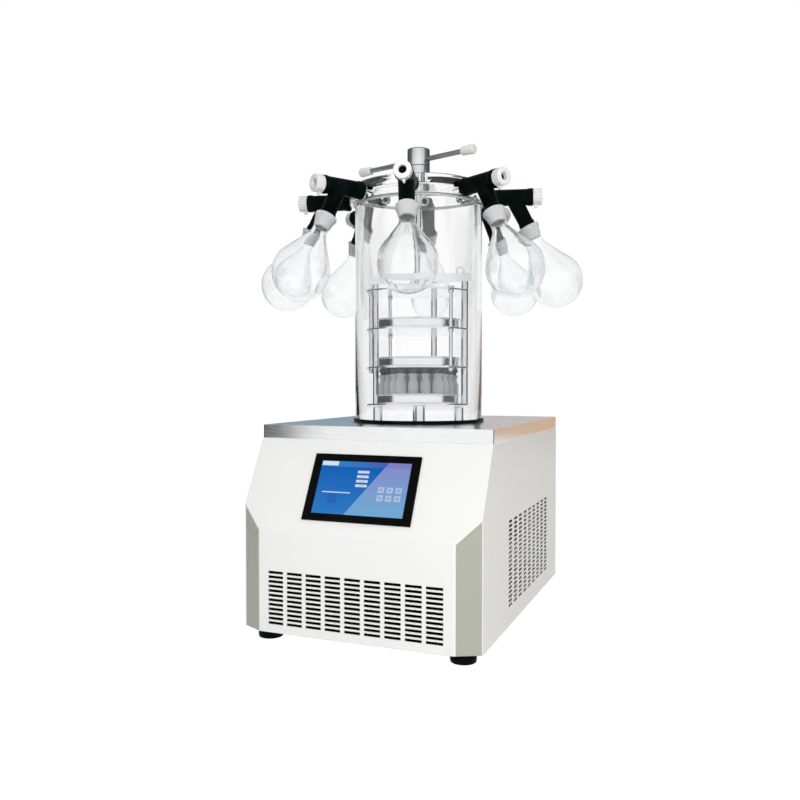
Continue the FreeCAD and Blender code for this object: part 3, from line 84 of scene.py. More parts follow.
class Slot(Enum):
    """The record's material slots."""

    WHITE_PAINT = "white_paint"
    GREY_PAINT = "grey_paint"
    TRAY_STEEL = "tray_steel"
    STAINLESS = "stainless"
    CHROME = "chrome"
    ROD_STEEL = "rod_steel"
    BLACK_RUBBER = "black_rubber"
    SILICONE = "white_silicone"
    STOPPER_RUBBER = "stopper_rubber"
    ACRYLIC = "clear_acrylic"
    GLASS = "flask_glass"
    WHITE_PLASTIC = "white_plastic"
    BLACK_PLASTIC = "black_plastic"
    SCREEN = "screen_pane"
    FOAM = "foam"
    BLACK_STEEL = "black_steel"
    FINS = "fin_aluminium"
    BRASS = "valve_brass"
    LEVER = "lever_steel"


# Shader trees


class Tree:
    """Short forms for filling one node tree."""

    def __init__(self, tree: Group) -> None:
        """Takes the tree that is to be filled."""
        self.tree = tree

    def add(self, kind: str, feeds: Feeds | None = None, **settings: object) -> Node:
        """Adds a node.

        Args:
            kind: the shader node's type name, without what all of them begin with.
            feeds: what each named or numbered input takes, a socket or a value.
            settings: the node's own properties.

        Returns:
            The new node.
        """
        node = self.tree.nodes.new("ShaderNode" + kind)
        for word, setting in settings.items():
            setattr(node, word, setting)
        self.fill(node, feeds or {})
        return node

    def fill(self, node: Node, feeds: Feeds) -> None:
        """Links sockets to a node's inputs, and writes plain values there.

        Args:
            node: the node.
            feeds: what each named or numbered input takes.
        """
        for word, feed in feeds.items():
            if isinstance(feed, Socket):
                self.tree.links.new(feed, node.inputs[word])
            else:
                node.inputs[word].default_value = feed

    def calc(self, operation: str, *terms: Feed, clamp: bool = False) -> Socket:
        """The result of one math node on these terms."""
        return self.add("Math", dict(enumerate(terms)), operation=operation, use_clamp=clamp).outputs[0]

    def mix(self, share: Feed, first: Feed, second: Feed) -> Socket:
        """The colour between two colours, at that share of the second."""
        return self.add("Mix", {0: share, 6: first, 7: second}, data_type="RGBA").outputs[2]

    def spread(self, entry: Feed, low: Feed, high: Feed, start: float = 0.0, end: float = 1.0) -> Socket:
        """What goes from start to end, spread from low to high."""
        feeds = {"Value": entry, "From Min": start, "From Max": end, "To Min": low, "To Max": high}
        return self.add("MapRange", feeds).outputs["Result"]

    def noise(self, place: Feed, scale: Feed, detail: float, roughness: float = 0.5) -> Socket:
        """Cloudy noise."""
        feeds = {"Vector": place, "Scale": scale, "Detail": detail, "Roughness": roughness}
        return self.add("TexNoise", feeds).outputs["Fac"]

    def use(self, group: Group, feeds: Feeds) -> Mapping[str, Socket]:
        """Places a shared effect with its own values, and gives its outputs."""
        return self.add("Group", feeds, node_tree=group).outputs

    def place(self) -> Socket:
        """Coordinates in the piece's own frame, in metres."""
        return self.add("TexCoord").outputs["Object"]

    def normal(self) -> Socket:
        """The surface's own normal."""
        return self.add("NewGeometry").outputs["Normal"]

    def facing(self, blend: float) -> Socket:
        """0 where the surface faces the eye, towards 1 where it turns away."""
        return self.add("LayerWeight", {"Blend": blend}).outputs["Facing"]

    def give(self, feeds: Feeds) -> Group:
        """Ends a shared effect with what it gives."""
        self.fill(self.tree.nodes.new("NodeGroupOutput"), feeds)
        return self.tree


SOCKETS = {float: "NodeSocketFloat", "colour": "NodeSocketColor", "vector": "NodeSocketVector"}


def new_group(name: str, entries: dict[str, object], exits: dict[str, object]) -> tuple[Tree, Mapping[str, Socket]]:
    """Starts a shared effect.

    Args:
        name: the group's name.
        entries: each input's kind, a default number, or "colour" or "vector".
        exits: each output's kind, written the same way.

    Returns:
        The tree to fill, and its inputs.
    """
    group = bpy.data.node_groups.new(name, "ShaderNodeTree")
    for in_out, words in (("INPUT", entries), ("OUTPUT", exits)):
        for word, kind in words.items():
            plain = isinstance(kind, float)
            form = SOCKETS[float if plain else kind]
            socket = group.interface.new_socket(name=word, in_out=in_out, socket_type=form)
            if plain:
                socket.default_value = kind
    return Tree(group), group.nodes.new("NodeGroupInput").outputs


class Effects:
    """The surface effects that several finishes share, each built once."""

    def __init__(self) -> None:
        """Builds every effect."""
        self.grain = self.build_grain()
        self.mottle = self.build_mottle()
        self.edges = self.build_edges()
        self.dust = self.build_dust()
        self.patch = self.build_patch()

    @staticmethod
    def build_grain() -> Group:
        """Fine relief: peel, moulded grain, or brush lines where it is stretched.

        Returns:
            The effect.
        """
        entries = {"Stretch": "vector", "Scale": 1.0, "Depth": 0.1, "Smooth": 0.3, "Rough": 0.4, "Normal": "vector"}
        tree, take = new_group("Fine grain", entries, {"Value": 0.0, "Roughness": 0.0, "Normal": "vector"})
        path = tree.add("VectorMath", {0: tree.place(), 1: take["Stretch"]}, operation="MULTIPLY")
        value = tree.noise(path.outputs[0], take["Scale"], 3.0, 0.55)
        rough = tree.spread(value, take["Smooth"], take["Rough"], 0.25, 0.75)
        relief = {"Height": value, "Strength": take["Depth"], "Distance": 0.2 * MM, "Normal": take["Normal"]}
        bump = tree.add("Bump", relief).outputs["Normal"]
        return tree.give({"Value": value, "Roughness": rough, "Normal": bump})

    @staticmethod
    def build_mottle() -> Group:
        """A slow drift of colour between two shades.

        Returns:
            The effect.
        """
        entries = {"Colour": "colour", "Shade": "colour", "Scale": 6.0, "Share": 0.5}
        tree, take = new_group("Mottle", entries, {"Colour": "colour"})
        cloud = tree.noise(tree.place(), take["Scale"], 4.0, 0.6)
        share = tree.spread(cloud, 0.0, take["Share"], 0.35, 0.65)
        return tree.give({"Colour": tree.mix(share, take["Colour"], take["Shade"])})

    @staticmethod
    def build_edges() -> Group:
        """Rounded edges: the eased normal, and a mask that is 1 on an edge.

        Returns:
            The effect.
        """
        tree, take = new_group("Eased edges", {"Radius": 1 * MM}, {"Mask": 0.0, "Normal": "vector"})
        eased = tree.add("Bevel", {"Radius": take["Radius"]}, samples=6).outputs["Normal"]
        along = tree.add("VectorMath", {0: eased, 1: tree.normal()}, operation="DOT_PRODUCT").outputs["Value"]
        return tree.give({"Mask": tree.spread(along, 0.0, 1.0, 0.98, 0.75), "Normal": eased})

    @staticmethod
    def build_dust() -> Group:
        """Settled dust on surfaces that face up, in soft patches.

        Returns:
            The effect.
        """
        entries = {"Colour": "colour", "Dust": "colour", "Amount": 0.2, "Scale": 30.0}
        tree, take = new_group("Settled dust", entries, {"Colour": "colour"})
        up = tree.add("SeparateXYZ", {0: tree.normal()}).outputs["Z"]
        cloud = tree.noise(tree.place(), take["Scale"], 5.0)
        soft = tree.calc("MULTIPLY", tree.spread(up, 0.0, 1.0, 0.5), cloud)
        mask = tree.calc("MULTIPLY", soft, take["Amount"], clamp=True)
        return tree.give({"Colour": tree.mix(mask, take["Colour"], take["Dust"])})

    @staticmethod
    def build_patch() -> Group:
        """A rectangle on the face of the screen, 1 inside and 0 outside.

        Returns:
            The effect.
        """
        sizes = {"Across": 0.5, "Up": 0.5, "Half Width": 0.1, "Half Height": 0.1, "Soft": 0.004}
        tree, take = new_group("Patch", {**sizes, "Vector": "vector"}, {"Mask": 0.0})
        spot = tree.add("SeparateXYZ", {0: take["Vector"]}).outputs
        shares = []
        for axis, centre, half in (("X", "Across", "Half Width"), ("Y", "Up", "Half Height")):
            off = tree.calc("ABSOLUTE", tree.calc("SUBTRACT", spot[axis], take[centre]))
            room = tree.calc("SUBTRACT", take[half], off)
            shares.append(tree.calc("DIVIDE", room, take["Soft"], clamp=True))
        return tree.give({"Mask": tree.calc("MULTIPLY", *shares)})


# Finishes


EVEN = (1.0, 1.0, 1.0)
HOUSE_DUST = tone(206, 203, 196)
GREY_DUST = tone(150, 148, 142)
# The painted dark reflection that a steel's rim darkens to.
PAINTED_DARK_REFLECTION = tone(34, 36, 38)
GLASS_INDEX = 1.474


def blank(name: str) -> tuple[Material, Tree, Node]:
    """A new material, its tree, and its main shader.

    Args:
        name: the material's name.

    Returns:
        The three of them.
    """
    material = bpy.data.materials.new(name)
    material.use_nodes = True
    return material, Tree(material.node_tree), material.node_tree.nodes["Principled BSDF"]


@dataclass(frozen=True)
class Finish:
    """What every finish has: a colour that drifts into a shade in soft patches, and a grain. A clear finish uses its
    shade as a painted edge shade instead.
    """

    name: str
    colour: Colour
    shade: Colour
    smooth: float = 0.3
    rough: float = 0.42
    patches: ClassVar[tuple[float, float]] = (3.0, 0.6)

    def drift(self, tree: Tree, effects: Effects) -> Socket:
        """The colour and the shade in soft patches.

        Args:
            tree: the material's tree.
            effects: the shared effects.

        Returns:
            The mixed colour.
        """
        scale, share = self.patches
        feeds = {"Colour": self.colour, "Shade": self.shade, "Scale": scale, "Share": share}
        return tree.use(effects.mottle, feeds)["Colour"]

    def lay(self, tree: Tree, effects: Effects, shader: Node, feeds: Feeds) -> Socket:
        """Gives a shader the shared grain's roughness and normal.

        Args:
            tree: the material's tree.
            effects: the shared effects.
            shader: the main shader.
            feeds: the grain's scale, depth and normal, and its stretch where it has one.

        Returns:
            The grain's value.
        """
        ends = {"Stretch": EVEN, "Smooth": self.smooth, "Rough": self.rough}
        grain = tree.use(effects.grain, {**ends, **feeds})
        tree.fill(shader, {"Roughness": grain["Roughness"], "Normal": grain["Normal"]})
        return grain["Value"]


@dataclass(frozen=True)
class Paint(Finish):
    """Powder coat on sheet metal, with a faint orange peel and eased folds."""

    peel: float = 900.0
    depth: float = 0.12
    fold: float = 1.6 * MM
    coat: float = 0.15

    def build(self, effects: Effects) -> Material:
        """The coat as a material.

        Args:
            effects: the shared effects.

        Returns:
            The material.
        """
        material, tree, shader = blank(self.name)
        eased = tree.use(effects.edges, {"Radius": self.fold})["Normal"]
        self.lay(tree, effects, shader, {"Scale": self.peel, "Depth": self.depth, "Normal": eased})
        dust = {"Colour": self.drift(tree, effects), "Dust": HOUSE_DUST, "Amount": 0.12, "Scale": 40.0}
        tree.fill(shader, {"Base Color": tree.use(effects.dust, dust)["Colour"], "Specular IOR Level": 0.45})
        tree.fill(shader, {"Coat Weight": self.coat, "Coat Roughness": 0.25})
        return material


@dataclass(frozen=True)
class Steel(Finish):
    """Bare metal, brushed or turned along one direction. A painted dark reflection darkens its rim where it turns
    away from the eye.
    """

    smooth: float = 0.16
    rough: float = 0.34
    stretch: tuple[float, float, float] = (1.0, 40.0, 40.0)
    scale: float = 40.0
    depth: float = 0.08
    fold: float = 0.8 * MM
    # rim and its blend set the painted dark reflection where the metal turns away from the eye.
    rim: float = 0.0
    painted_rim_blend: float = 0.3
    patches = (9.0, 0.7)

    def build(self, effects: Effects) -> Material:
        """The metal as a material.

        Args:
            effects: the shared effects.

        Returns:
            The material.
        """
        material, tree, shader = blank(self.name)
        eased = tree.use(effects.edges, {"Radius": self.fold})["Normal"]
        grain = {"Stretch": self.stretch, "Scale": self.scale, "Depth": self.depth, "Normal": eased}
        value = self.lay(tree, effects, shader, grain)
        lines = tree.mix(value, self.drift(tree, effects), self.shade)
        if self.rim:
            # Painted dark reflection: the colour darkens towards the rim, by its angle to the eye.
            lines = tree.mix(tree.calc("MULTIPLY", tree.facing(self.painted_rim_blend), self.rim), lines, PAINTED_DARK_REFLECTION)
        tree.fill(shader, {"Base Color": lines, "Metallic": 1.0})
        return material


@dataclass(frozen=True)
class Moulded(Finish):
    """Rubber or plastic with a moulded grain, worn edges, and a little dust where it faces up."""

    smooth: float = 0.35
    rough: float = 0.5
    scale: float = 1400.0
    depth: float = 0.15
    fold: float = 0.8 * MM
    dust: float = 0.1
    coat: float = 0.0
    gloss: float = 0.5
    wear: float = 0.25
    patches = (25.0, 0.8)

    def build(self, effects: Effects) -> Material:
        """The moulding as a material.

        Args:
            effects: the shared effects.

        Returns:
            The material.
        """
        material, tree, shader = blank(self.name)
        edge = tree.use(effects.edges, {"Radius": self.fold})
        self.lay(tree, effects, shader, {"Scale": self.scale, "Depth": self.depth, "Normal": edge["Normal"]})
        worn = tree.mix(tree.calc("MULTIPLY", edge["Mask"], self.wear), self.drift(tree, effects), self.shade)
        dust = {"Colour": worn, "Dust": GREY_DUST, "Amount": self.dust, "Scale": 60.0}
        tree.fill(shader, {"Base Color": tree.use(effects.dust, dust)["Colour"], "Specular IOR Level": self.gloss})
        tree.fill(shader, {"Coat Weight": self.coat, "Coat Roughness": 0.15})
        return material


@dataclass(frozen=True)
class Clear(Finish):
    """Clear glass or acrylic, whose colour greys to the shade where it is seen edge on: a painted shade for its dark
    edges.
    """

    smooth: float = 0.0
    rough: float = 0.03
    index: float = GLASS_INDEX
    painted_edge_blend: float = 0.05
    ripple: float = 0.02

    def build(self, effects: Effects) -> Material:
        """The glass as a material.

        Args:
            effects: the shared effects.

        Returns:
            The material.
        """
        material, tree, shader = blank(self.name)
        waves = {"Stretch": (1.0, 1.0, 0.35), "Scale": 24.0, "Depth": self.ripple, "Normal": tree.normal()}
        self.lay(tree, effects, shader, waves)
        # Painted shade: the colour greys towards the shade where the glass is seen edge on.
        colour = tree.mix(tree.facing(self.painted_edge_blend), self.colour, self.shade)
        tree.fill(shader, {"Base Color": colour, "Transmission Weight": 1.0, "IOR": self.index})
        return material


@dataclass(frozen=True)
class Display:
    """The lit face of the touch screen: plain panels, bars and keys, with no words."""

    name: str = "screen face"
    left: Colour = tone(0, 92, 182)
    left_low: Colour = tone(40, 122, 196)
    right: Colour = tone(136, 140, 205)
    right_low: Colour = tone(112, 172, 214)
    bar: Colour = tone(28, 140, 205)
    bar_end: Colour = tone(88, 70, 176)
    bar_foot: float = 0.89
    pale: Colour = tone(222, 232, 246)
    slant: tuple[float, float] = (0.39, 0.36)
    soft: float = 0.006
    row: tuple[float, float, float] = (0.492, 0.805, 0.086)
    keys: tuple[float, float, float, float] = (0.72, 0.49, 0.094, 0.15)
    lit: float = 0.95
    unlit: Colour = (0.002, 0.002, 0.003, 1.0)

    def marks(self) -> list[tuple[Colour, float, float, float, float, float]]:
        """The marks: colour, strength, centre across and up, half width and half height.

        Returns:
            The marks, the lowest layer first.
        """
        middle, top, drop = self.row
        across, up, step, fall = self.keys
        rows = [(middle, top - drop * row) for row in range(4)]
        keys = [(across + step * (key % 3), up - fall * (key // 3)) for key in range(6)]
        marks = [(self.pale, 0.95, 0.10, 0.95, 0.095, 0.042)]
        marks += [(self.pale, 0.9, *row, 0.066, 0.026) for row in rows]
        marks.append((self.pale, 0.85, 0.23, 0.405, 0.16, 0.012))
        marks.append((tone(30, 88, 172), 0.6, 0.20, 0.285, 0.053, 0.088))
        marks.append((tone(40, 96, 178), 0.35, 0.20, 0.165, 0.08, 0.02))
        marks += [(self.pale, 0.45, *key, 0.035, 0.056) for key in keys]
        marks += [(self.right, 0.7, *key, 0.016, 0.024) for key in keys]
        marks += [(self.left, 0.6, *row, 0.03, 0.006) for row in rows]
        return marks

    def build(self, effects: Effects) -> Material:
        """The screen's face as a material, read from the piece's own UV map.

        Args:
            effects: the shared effects.

        Returns:
            The material.
        """
        material, tree, shader = blank(self.name)
        flat = tree.add("TexCoord").outputs["UV"]
        spot = tree.add("SeparateXYZ", {0: flat}).outputs
        down = tree.spread(spot["Y"], 1.0, 0.0)
        slant = tree.calc("SUBTRACT", spot["X"], tree.calc("MULTIPLY_ADD", spot["Y"], *self.slant))
        side = tree.calc("DIVIDE", slant, self.soft, clamp=True)
        shown = tree.mix(side, tree.mix(down, self.left, self.left_low), tree.mix(down, self.right, self.right_low))
        top = tree.calc("DIVIDE", tree.calc("SUBTRACT", spot["Y"], self.bar_foot), self.soft, clamp=True)
        share = tree.calc("MULTIPLY", top, tree.spread(side, 0.9, 0.25))
        shown = tree.mix(share, shown, tree.mix(spot["X"], self.bar, self.bar_end))
        for colour, strength, *spread in self.marks():
            mask = self.mask(tree, effects, flat, *spread)
            shown = tree.mix(tree.calc("MULTIPLY", mask, strength), shown, colour)
        face = self.mask(tree, effects, flat, 0.5, 0.5, 0.5, 0.5)
        tree.fill(shader, {"Emission Color": tree.mix(face, BLACK, shown), "Emission Strength": self.lit})
        tree.fill(shader, {"Base Color": self.unlit, "Roughness": 0.1, "Specular IOR Level": 0.06})
        return material

    @staticmethod
    def mask(tree: Tree, effects: Effects, flat: Socket, *spread: float) -> Socket:
        """The mask of a rectangle: its centre across and up, half width and half height."""
        words = ("Across", "Up", "Half Width", "Half Height")
        return tree.use(effects.patch, {"Vector": flat, **dict(zip(words, spread))})["Mask"]


def list_finishes() -> dict[Slot, Finish | Display]:
    """The finish of each slot.

    Returns:
        The finishes by slot.
    """
    # Chrome and turned steel get a painted dark reflection at their rims.
    polish = {"depth": 0.02, "rim": 0.95, "painted_rim_blend": 0.85}
    lathe = {"stretch": (8.0, 8.0, 60.0), "depth": 0.03, "rim": 1.0}
    dull = {"dust": 0.01, "gloss": 0.03}
    sleek = {"dust": 0.02, "gloss": 0.05}
    return {
        Slot.WHITE_PAINT: Paint("white powder coat", tone(241, 241, 238), tone(236, 236, 231)),
        Slot.GREY_PAINT: Paint("grey powder coat", tone(172, 174, 163), tone(165, 167, 156)),
        Slot.TRAY_STEEL: Steel("zinc plated sheet", tone(178, 182, 186), tone(150, 155, 160), 0.3, 0.5),
        Slot.STAINLESS: Steel("brushed stainless", tone(248, 249, 250), tone(232, 234, 236), 0.1, 0.24),
        Slot.CHROME: Steel("polished chrome", tone(244, 245, 246), tone(234, 236, 238), 0.04, 0.1, **polish),
        Slot.ROD_STEEL: Steel("turned steel", tone(238, 240, 241), tone(214, 216, 219), 0.05, 0.13, **lathe),
        Slot.BLACK_RUBBER: Moulded("black rubber", tone(2, 5, 4), tone(10, 24, 21), 0.3, 0.45, **dull),
        Slot.SILICONE: Moulded("white silicone", tone(250, 251, 250), tone(240, 243, 241), dust=0.0),
        Slot.STOPPER_RUBBER: Moulded("grey stopper rubber", tone(98, 99, 103), tone(120, 121, 125), 0.5, 0.65),
        # Each clear finish's second colour is its painted edge shade.
        Slot.ACRYLIC: Clear("clear acrylic", tone(254, 254, 254), tone(170, 176, 178), index=1.49),
        Slot.GLASS: Clear("clear glass", tone(254, 255, 255), tone(104, 112, 114)),
        Slot.WHITE_PLASTIC: Moulded("white plastic", tone(243, 243, 241), tone(230, 230, 226), 0.22, 0.32, coat=0.2),
        Slot.BLACK_PLASTIC: Moulded("black plastic", tone(3, 3, 4), tone(12, 12, 13), 0.25, 0.4, **sleek),
        Slot.SCREEN: Display(),
        Slot.FOAM: Moulded("insulating foam", tone(232, 226, 196), tone(214, 204, 168), 0.8, 0.95, 300.0, 0.6),
        Slot.BLACK_STEEL: Paint("black enamel", tone(30, 30, 33), tone(38, 38, 42), 0.25, 0.4, 500.0, 0.1),
        # The fins' near black is partly their coat and partly painted shade, so the grille's slots read dark.
        Slot.FINS: Steel("black coated fins with painted shade", tone(26, 27, 28), tone(18, 19, 20), 0.45, 0.6),
        Slot.BRASS: Steel("plated brass", tone(214, 186, 122), tone(186, 154, 92), 0.22, 0.36, (6.0, 6.0, 6.0)),
        Slot.LEVER: Moulded("red dipped lever", tone(176, 24, 20), tone(150, 18, 16), 0.25, 0.35, coat=0.3),
    }


class Wardrobe:
    """Every finish as a material, made once."""

    def __init__(self, effects: Effects) -> None:
        """Builds the finishes.

        Args:
            effects: the shared effects.
        """
        self.materials = {slot: finish.build(effects) for slot, finish in list_finishes().items()}
        frost = {"smooth": 0.42, "rough": 0.55, "scale": 2200.0, "depth": 0.4, "dust": 0.0}
        ground = Moulded("ground glass", tone(252, 253, 253), tone(240, 243, 243), **frost)
        self.ground = self.through(ground.build(effects), 0.5)
        milk = {"smooth": 0.06, "rough": 0.14, "scale": 300.0, "depth": 0.05, "dust": 0.0}
        vial = Moulded("vial glass", tone(250, 251, 251), tone(238, 241, 242), **milk)
        self.vial = self.through(vial.build(effects), 0.2)
        self.through(self.materials[Slot.SILICONE], 0.6)

    @staticmethod
    def through(material: Material, share: float) -> Material:
        """Lets that share of the light through a material.

        Args:
            material: the material.
            share: the share, from 0 to 1.

        Returns:
            The same material.
        """
        shader = material.node_tree.nodes["Principled BSDF"]
        Tree(material.node_tree).fill(shader, {"Transmission Weight": share, "IOR": GLASS_INDEX})
        return material

    def dress(self, node: str, slot: Slot) -> None:
        """Gives a node of the frame its finish.

        Args:
            node: the node's name.
            slot: the slot whose finish it gets.
        """
        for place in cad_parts[node].material_slots:
            place.material = self.materials[slot]
        LOG.info("dressed %s in %s", node, slot.value)


# Forms


MERGE = 1e-6
CREASE = 38.0
CORNER_STEPS = 4
PROFILE = 0.5


def verts_in(items: Iterable[object]) -> list[Vert]:
    """The vertices among parts of a mesh."""
    return [item for item in items if isinstance(item, Vert)]


def middle_of(face: Face) -> tuple[float, float]:
    """The radius and height of a face's middle."""
    middle = face.calc_center_median()
    return math.hypot(middle.x, middle.y), middle.z


class Form:
    """A mesh in the making. A pen draws an outline in the XZ plane, and a turn about Z makes it round."""

    def __init__(self) -> None:
        """Starts an empty mesh."""
        self.mesh = bmesh.new()
        self.tip: Vert | None = None
        self.first: Vert | None = None
        self.corners: list[tuple[Vert, float]] = []

    def line(self, radius: float, height: float, rounding: float = 0.0) -> "Form":
        """Draws to a point, whose corner is rounded by that many millimetres along each side.

        Args:
            radius: the point's distance from the axis.
            height: its height.
            rounding: its rounding.

        Returns:
            This form.
        """
        fresh = self.mesh.verts.new((radius, 0.0, height))
        if self.tip is None:
            self.first = fresh
        else:
            self.mesh.edges.new((self.tip, fresh))
        if rounding:
            self.corners.append((fresh, rounding * MM))
        self.tip = fresh
        return self

    def outline(self, *points: tuple[float, ...]) -> "Form":
        """Draws through points of radius, height and, where it is rounded, rounding in millimetres.

        Args:
            points: the points in order.

        Returns:
            This form.
        """
        for point in points:
            self.line(*point)
        return self

    def sweep(self, centre: float, angle: float, steps: int) -> "Form":
        """Draws an arc about the point at that height on the axis, upward where the angle is positive.

        Args:
            centre: the height of the arc's centre.
            angle: the arc's angle in radians.
            steps: how many chords it has.

        Returns:
            This form.
        """
        pivot = (0.0, 0.0, centre)
        made = bmesh.ops.spin(self.mesh, geom=[self.tip], cent=pivot, axis=(0, -1, 0), angle=angle, steps=steps)
        self.tip = verts_in(made["geom_last"])[0]
        return self

    def close(self) -> "Form":
        """Joins the outline's end to its start."""
        self.mesh.edges.new((self.tip, self.first))
        return self

    def bevel(self, parts: list[object], width: float, steps: int, affect: str, clamp: bool = False) -> None:
        """Rounds vertices or edges by that width on each side.

        Args:
            parts: the vertices or edges.
            width: the width.
            steps: how many faces round a corner.
            affect: VERTICES or EDGES.
            clamp: whether neighbours keep apart.
        """
        bmesh.ops.bevel(
            self.mesh, geom=parts, offset=width, offset_type="OFFSET", segments=steps,
            profile=PROFILE, affect=affect, material=-1, clamp_overlap=clamp,
        )

    def spin(self, angle: float, steps: int, merge: bool = False) -> "Form":
        """Sweeps what is drawn about Z.

        Args:
            angle: the angle in radians.
            steps: how many faces there are round it.
            merge: whether the end joins the start.

        Returns:
            This form.
        """
        drawn = self.mesh.verts[:] + self.mesh.edges[:]
        pose = {"cent": (0, 0, 0), "axis": (0, 0, 1), "angle": angle, "steps": steps}
        bmesh.ops.spin(self.mesh, geom=drawn, use_merge=merge, **pose)
        return self

    def turn(self, steps: int = 48) -> "Form":
        """Rounds the corners, and turns the outline into a closed skin.

        Args:
            steps: how many faces there are round the form.

        Returns:
            This form.
        """
        for corner, rounding in self.corners:
            self.bevel([corner], rounding, CORNER_STEPS, "VERTICES")
        return self.spin(FULL_TURN, steps, merge=True).tidy()

    def tidy(self) -> "Form":
        """Merges doubles and points every face outward.

        Returns:
            This form.
        """
        bmesh.ops.remove_doubles(self.mesh, verts=self.mesh.verts, dist=MERGE)
        bmesh.ops.recalc_face_normals(self.mesh, faces=self.mesh.faces)
        return self

    def move(self, place: Matrix) -> "Form":
        """Moves everything by a matrix."""
        bmesh.ops.transform(self.mesh, matrix=place, verts=self.mesh.verts)
        return self

    def soften(self, width: float, steps: int = 2, sharpest: float = 40.0) -> "Form":
        """Bevels every edge that is sharper than an angle in degrees.

        Args:
            width: the bevel's width.
            steps: how many faces it has across.
            sharpest: the angle that is still left alone.

        Returns:
            This form.
        """
        limit = math.radians(sharpest)
        edges = [edge for edge in self.mesh.edges if edge.is_manifold and edge.calc_face_angle() > limit]
        self.bevel(edges, width, steps, "EDGES", clamp=True)
        return self

    def copies(self, places: Iterable[Matrix]) -> "Form":
        """Sets a copy at each place instead of the form itself.

        Args:
            places: a matrix for each copy.

        Returns:
            This form.
        """
        whole = self.mesh.verts[:] + self.mesh.edges[:] + self.mesh.faces[:]
        for place in places:
            made = bmesh.ops.duplicate(self.mesh, geom=whole)
            bmesh.ops.transform(self.mesh, matrix=place, verts=verts_in(made["geom"]))
        bmesh.ops.delete(self.mesh, geom=verts_in(whole))
        return self

    def join(self, other: "Form") -> "Form":
        """Takes another form's mesh in, and frees it.

        Args:
            other: the form that is taken in.

        Returns:
            This form.
        """
        carrier = bpy.data.meshes.new("carrier")
        other.mesh.to_mesh(carrier)
        self.mesh.from_mesh(carrier)
        other.mesh.free()
        bpy.data.meshes.remove(carrier)
        return self

    def paint(self, chosen: Callable[[float, float], bool], index: int = 1) -> "Form":
        """Gives the faces whose radius and height are chosen the piece's material of that number.

        Args:
            chosen: says whether a face of that radius and height is chosen.
            index: the material's number.

        Returns:
            This form.
        """
        for face in self.mesh.faces:
            if chosen(*middle_of(face)):
                face.material_index = index
        return self

    def loose(self, name: str) -> Thing:
        """An object with this mesh that isn't a piece yet.

        Args:
            name: the object's name.

        Returns:
            The object.
        """
        data = bpy.data.meshes.new(name)
        self.mesh.to_mesh(data)
        self.mesh.free()
        thing = bpy.data.objects.new(name, data)
        bpy.context.scene.collection.objects.link(thing)
        return thing

    def piece(self, name: str, body: str, slot: Slot, materials: Sequence[Material]) -> Thing:
        """Ends the form as a piece of the object.

        Args:
            name: the piece's name.
            body: the body of the frame that it rides on.
            slot: the record's slot; not used.
            materials: its materials, the main one first.

        Returns:
            The piece.
        """
        thing = self.loose(name)
        for material in materials:
            thing.data.materials.append(material)
        for face in thing.data.polygons:
            face.use_smooth = True
        thing.data.set_sharp_from_angle(angle=math.radians(CREASE))
        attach(thing, body)
        LOG.info("made %s with %d faces", thing.name, len(thing.data.polygons))
        return thing


def carve(base: Form, tools: Sequence[Form], union: Sequence[Form] = ()) -> Form:
    """Joins forms to a base and then cuts tools from it.

    Args:
        base: the form that is cut.
        tools: closed forms that are taken away.
        union: closed forms that are added first.

    Returns:
        A new form with the result.
    """
    body = base.loose("carving")
    helpers = []
    for operation, forms in (("UNION", union), ("DIFFERENCE", tools)):
        for form in forms:
            helpers.append(form.loose("cutter"))
            step = body.modifiers.new(operation, "BOOLEAN")
            step.operation = operation
            step.object = helpers[-1]
            step.solver = "EXACT"
    bpy.context.view_layer.update()
    drawn = body.evaluated_get(bpy.context.evaluated_depsgraph_get())
    result = Form()
    result.mesh.from_mesh(drawn.to_mesh())
    drawn.to_mesh_clear()
    for thing in (body, *helpers):
        data = thing.data
        bpy.data.objects.remove(thing)
        bpy.data.meshes.remove(data)
    return result


def rod(radius: float, low: float, top: float, steps: int = 32, easing: float = 0.0) -> Form:
    """A solid round bar on the Z axis, with its ends' edges eased by that many millimetres."""
    return Form().outline((0.0, low), (radius, low, easing), (radius, top, easing), (0.0, top)).turn(steps)


def at(x: float, y: float, z: float) -> Matrix:
    """A place that is only moved."""
    return Matrix.Translation((x, y, z))


def tilted(angle: float, axis: str = "Z") -> Matrix:
    """A place that is only turned, by an angle in degrees."""
    return Matrix.Rotation(math.radians(angle), 4, axis)


OUTWARD = tilted(90, "X")
ALONG_X = tilted(90, "Y")


def reach(node: str) -> tuple[Vector, Vector, Vector]:
    """A node's lowest corner, highest corner and size."""
    low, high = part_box(node)
    return low, high, high - low


# Sub-assemblies


@dataclass
class Assembly:
    """A group of pieces. The plain nodes keep the frame's own shape and only get a finish."""

    wardrobe: Wardrobe
    plain: ClassVar[dict[str, Slot]] = {}

    def build(self) -> None:
        """Dresses the plain nodes and makes the pieces that stand for the others."""
        for node, slot in self.plain.items():
            self.wardrobe.dress(node, slot)
        self.make()

    def make(self) -> None:
        """Makes new pieces, where the group has any."""

    def stand(
        self,
        form: Form,
        name: str,
        node: str,
        slot: Slot,
        body: Body | str = Body.FRAME,
        materials: Sequence[Material] = (),
    ) -> None:
        """Ends a form as a piece that stands for a node of the frame.

        Args:
            form: the finished form.
            name: the piece's name.
            node: the node that it stands for.
            slot: the record's slot that it takes its finish from.
            body: the body that it rides on.
            materials: its materials, where they aren't the slot's own.
        """
        rides = body.value if isinstance(body, Body) else body
        piece = form.piece(name, rides, slot, materials or [self.wardrobe.materials[slot]])
        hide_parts(node)


